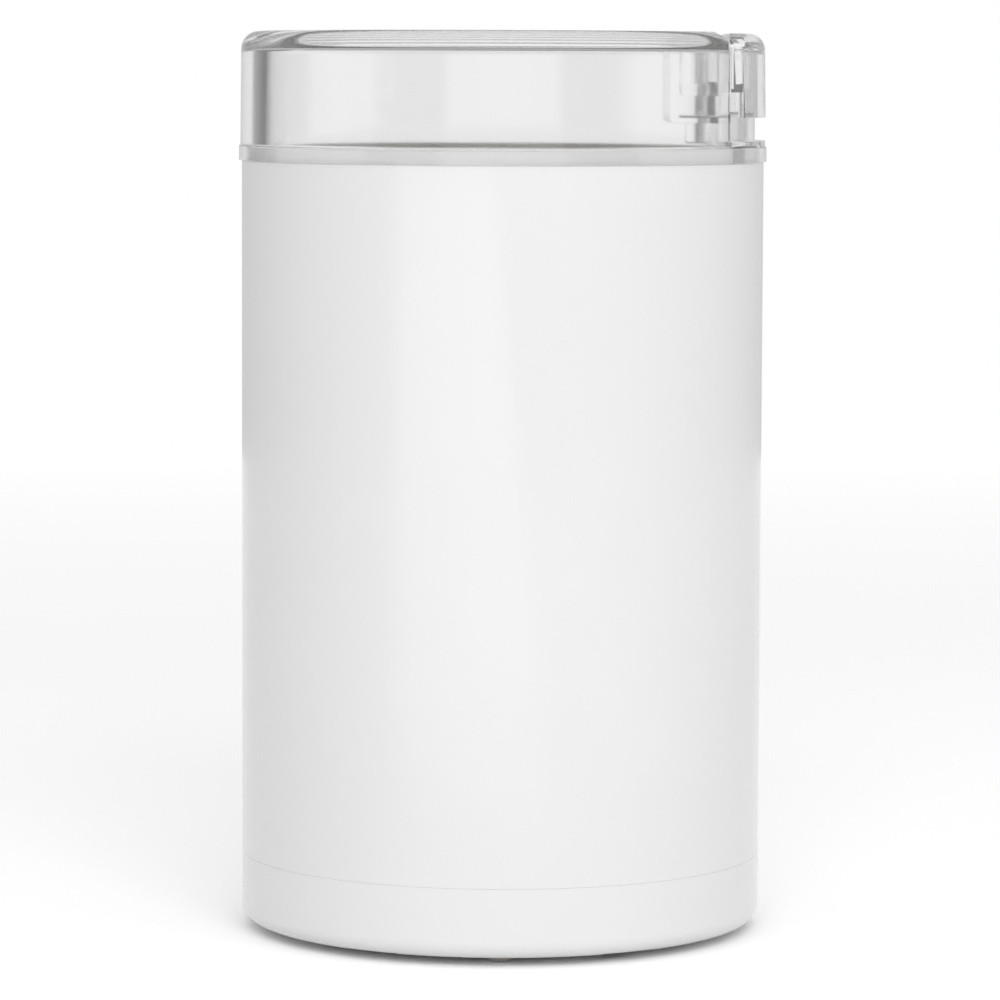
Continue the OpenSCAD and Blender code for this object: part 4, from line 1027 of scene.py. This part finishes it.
@dataclass
class Studio:
    """White sweep with grey flags, soft lamps and the camera, with its lengths in metres."""

    floor_radius: float = 1.15
    # The floor's paper fades to an even white between these two distances from the grinder
    sweep: Span = (0.45, 1.1)
    # How white the paper is where it is seen, over 1 to stay white beside the lamps' middle, and how
    # white it is to matt pieces
    floor_white: float = 1.3
    floor_grey: float = 0.8
    ambient: float = 0.64
    # Brightness seen through clear pieces, by degrees off the square directions: a white window,
    # a pale sweep, then a dark flag
    bands: tuple[Span, ...] = ((0.0, 0.88), (5.0, 0.88), (12.0, 0.84), (26.0, 0.8), (30.0, 0.2), (45.0, 0.12))
    # A greyer ceiling over them, which comes in as the direction's height grows from one to the other
    ceiling: float = 0.4
    ceiling_rise: Span = (0.15, 0.3)
    # The camera, fitted to the object's outline in a square frame
    focal_px: float = 4918.7
    frame_px: float = 1000.0
    principal_px: float = 1.47
    sensor_mm: float = 36.0
    camera_place: tuple[float, float, float] = (0.0, -0.927, 0.1618)
    tilt_down: float = 0.08705
    roll: float = 0.00376
    clip: Span = (0.05, 20.0)
    lamps: tuple[Softbox, ...] = (Softbox("key_lamp", (0.16, -1.38, 0.75), 1.0, 8.6),
                                  Softbox("fill_lamp", (0.95, -0.95, 0.6), 1.0, 0.7))
    # Light goes on through many faces in the lid's rim, which would turn black with fewer bounces
    bounces: int = 32
    glossy_bounces: int = 24
    shadow_faces: int = 16

    def floor(self) -> None:
        """Adds the floor: white to the camera, with the grinder's own shadow on it."""
        bpy.ops.object.select_all(action="DESELECT")
        bpy.ops.mesh.primitive_circle_add(vertices=64, radius=self.floor_radius, fill_type="NGON")
        floor = settle("white_floor")
        material, tree, out = open_material("white_paper")
        place = add_node(tree, "TexCoord")
        reach = add_node(tree, "VectorMath", {0: (place, "Object")}, operation="LENGTH")
        far = add_node(tree, "MapRange", {"Value": (reach, "Value"), "From Min": self.sweep[0],
                                          "From Max": self.sweep[1]})
        ray = add_node(tree, "LightPath")
        sharp = add_node(tree, "Math", {0: (ray, "Is Camera Ray"), 1: (ray, "Is Glossy Ray")},
                         operation="MAXIMUM")
        seen = add_node(tree, "Math", {0: (sharp, 0), 1: (ray, "Is Transmission Ray")}, operation="MAXIMUM")
        bright = add_node(tree, "MapRange", {"Value": (seen, 0), "To Min": self.floor_grey,
                                             "To Max": self.floor_white})
        colour = add_node(tree, "CombineColor", {name: (bright, 0) for name in ("Red", "Green", "Blue")})
        paper = add_node(tree, "BsdfDiffuse", {"Color": (colour, "Color")})
        glow = add_node(tree, "Emission", {"Color": (1, 1, 1, 1), "Strength": 1.0})
        blend = add_node(tree, "Math", {0: (far, 0), 1: (seen, 0)}, operation="MULTIPLY")
        both = add_node(tree, "MixShader", {0: (blend, 0), 1: (paper, 0), 2: (glow, 0)})
        tree.links.new(both.outputs[0], out.inputs["Surface"])
        floor.data.materials.append(material)

    def seen_through(self, tree: Tree) -> Node:
        """Makes the backdrop that clear pieces show: upright bands of grey under a greyer ceiling.

        Args:
            tree: the world's node tree.

        Returns:
            The background node.
        """
        place = add_node(tree, "TexCoord")
        split = add_node(tree, "SeparateXYZ", {0: (place, "Generated")})
        turn = add_node(tree, "Math", {0: (split, "X"), 1: (split, "Y")}, operation="ARCTAN2")
        last = self.bands[-1][0]
        fold = add_node(tree, "Math", {0: (turn, 0), 1: math.radians(last)}, operation="PINGPONG")
        share = add_node(tree, "MapRange", {"Value": (fold, 0), "From Max": math.radians(last)})
        ramp = add_node(tree, "ValToRGB", {"Fac": (share, 0)})
        stops = ramp.color_ramp.elements
        while len(stops) < len(self.bands):
            stops.new(1.0)
        for stop, (degrees, level) in zip(stops, self.bands):
            stop.position, stop.color = degrees / last, (level, level, level, 1.0)
        rise = add_node(tree, "MapRange", {"Value": (split, "Z"), "From Min": self.ceiling_rise[0],
                                           "From Max": self.ceiling_rise[1]})
        room = add_node(tree, "Mix", {0: (rise, 0), 6: (ramp, "Color"), 7: (*[self.ceiling] * 3, 1.0)},
                        data_type="RGBA")
        return add_node(tree, "Background", {"Color": (room, 2), "Strength": 1.0})

    def world(self) -> None:
        """Sets the world: white to the camera, banded through clear pieces and even to all else."""
        world = bpy.data.worlds.new("studio")
        world.use_nodes = True
        tree = world.node_tree
        tree.nodes.clear()
        banded = self.seen_through(tree)
        white = add_node(tree, "Background", {"Color": (1, 1, 1, 1), "Strength": 1.0})
        even = add_node(tree, "Background", {"Color": (1, 1, 1, 1), "Strength": self.ambient})
        ray = add_node(tree, "LightPath")
        # What matt pieces gather through the lid stays even, so that no band falls on them
        first = add_node(tree, "Math", {0: (ray, "Diffuse Depth"), 1: 0.5}, operation="LESS_THAN")
        through = add_node(tree, "Math", {0: (ray, "Is Transmission Ray"), 1: (first, 0)},
                           operation="MULTIPLY")
        lighting = add_node(tree, "MixShader", {0: (through, 0), 1: (even, 0), 2: (banded, 0)})
        both = add_node(tree, "MixShader", {0: (ray, "Is Camera Ray"), 1: (lighting, 0), 2: (white, 0)})
        add_node(tree, "OutputWorld", {"Surface": (both, 0)})
        bpy.context.scene.world = world

    def camera(self) -> None:
        """Adds the camera."""
        data = bpy.data.cameras.new("camera")
        data.sensor_width = self.sensor_mm
        data.lens = self.focal_px / self.frame_px * self.sensor_mm
        data.shift_x = -self.principal_px / self.frame_px
        data.clip_start, data.clip_end = self.clip
        camera = bpy.data.objects.new("camera", data)
        turn = Matrix.Rotation(math.pi / 2 - self.tilt_down, 4, "X") @ Matrix.Rotation(self.roll, 4, "Z")
        camera.matrix_world = Matrix.Translation(self.camera_place) @ turn
        bpy.context.scene.collection.objects.link(camera)
        bpy.context.scene.camera = camera

    def build(self) -> None:
        """Builds the studio."""
        self.camera()
        self.floor()
        self.world()
        WindowCard().build()
        for lamp in self.lamps:
            lamp.build()
        scene = bpy.context.scene
        scene.view_settings.view_transform = "Standard"
        scene.cycles.max_bounces = scene.cycles.transmission_bounces = self.bounces
        scene.cycles.glossy_bounces = self.glossy_bounces
        scene.cycles.transparent_max_bounces = self.shadow_faces


def main() -> None:
    """Builds the sub-assemblies in order and logs each one."""
    logging.basicConfig(level=logging.INFO, format="%(name)s: %(message)s")
    bpy.ops.object.select_all(action="DESELECT")
    for part in (Studio(), Shell(), GrindingChamber(), Motor(), SwitchGear(), ClearLid(), ClearButton()):
        part.build()
        log.info("built %s", type(part).__name__)


if __name__ == "__main__":
    main()
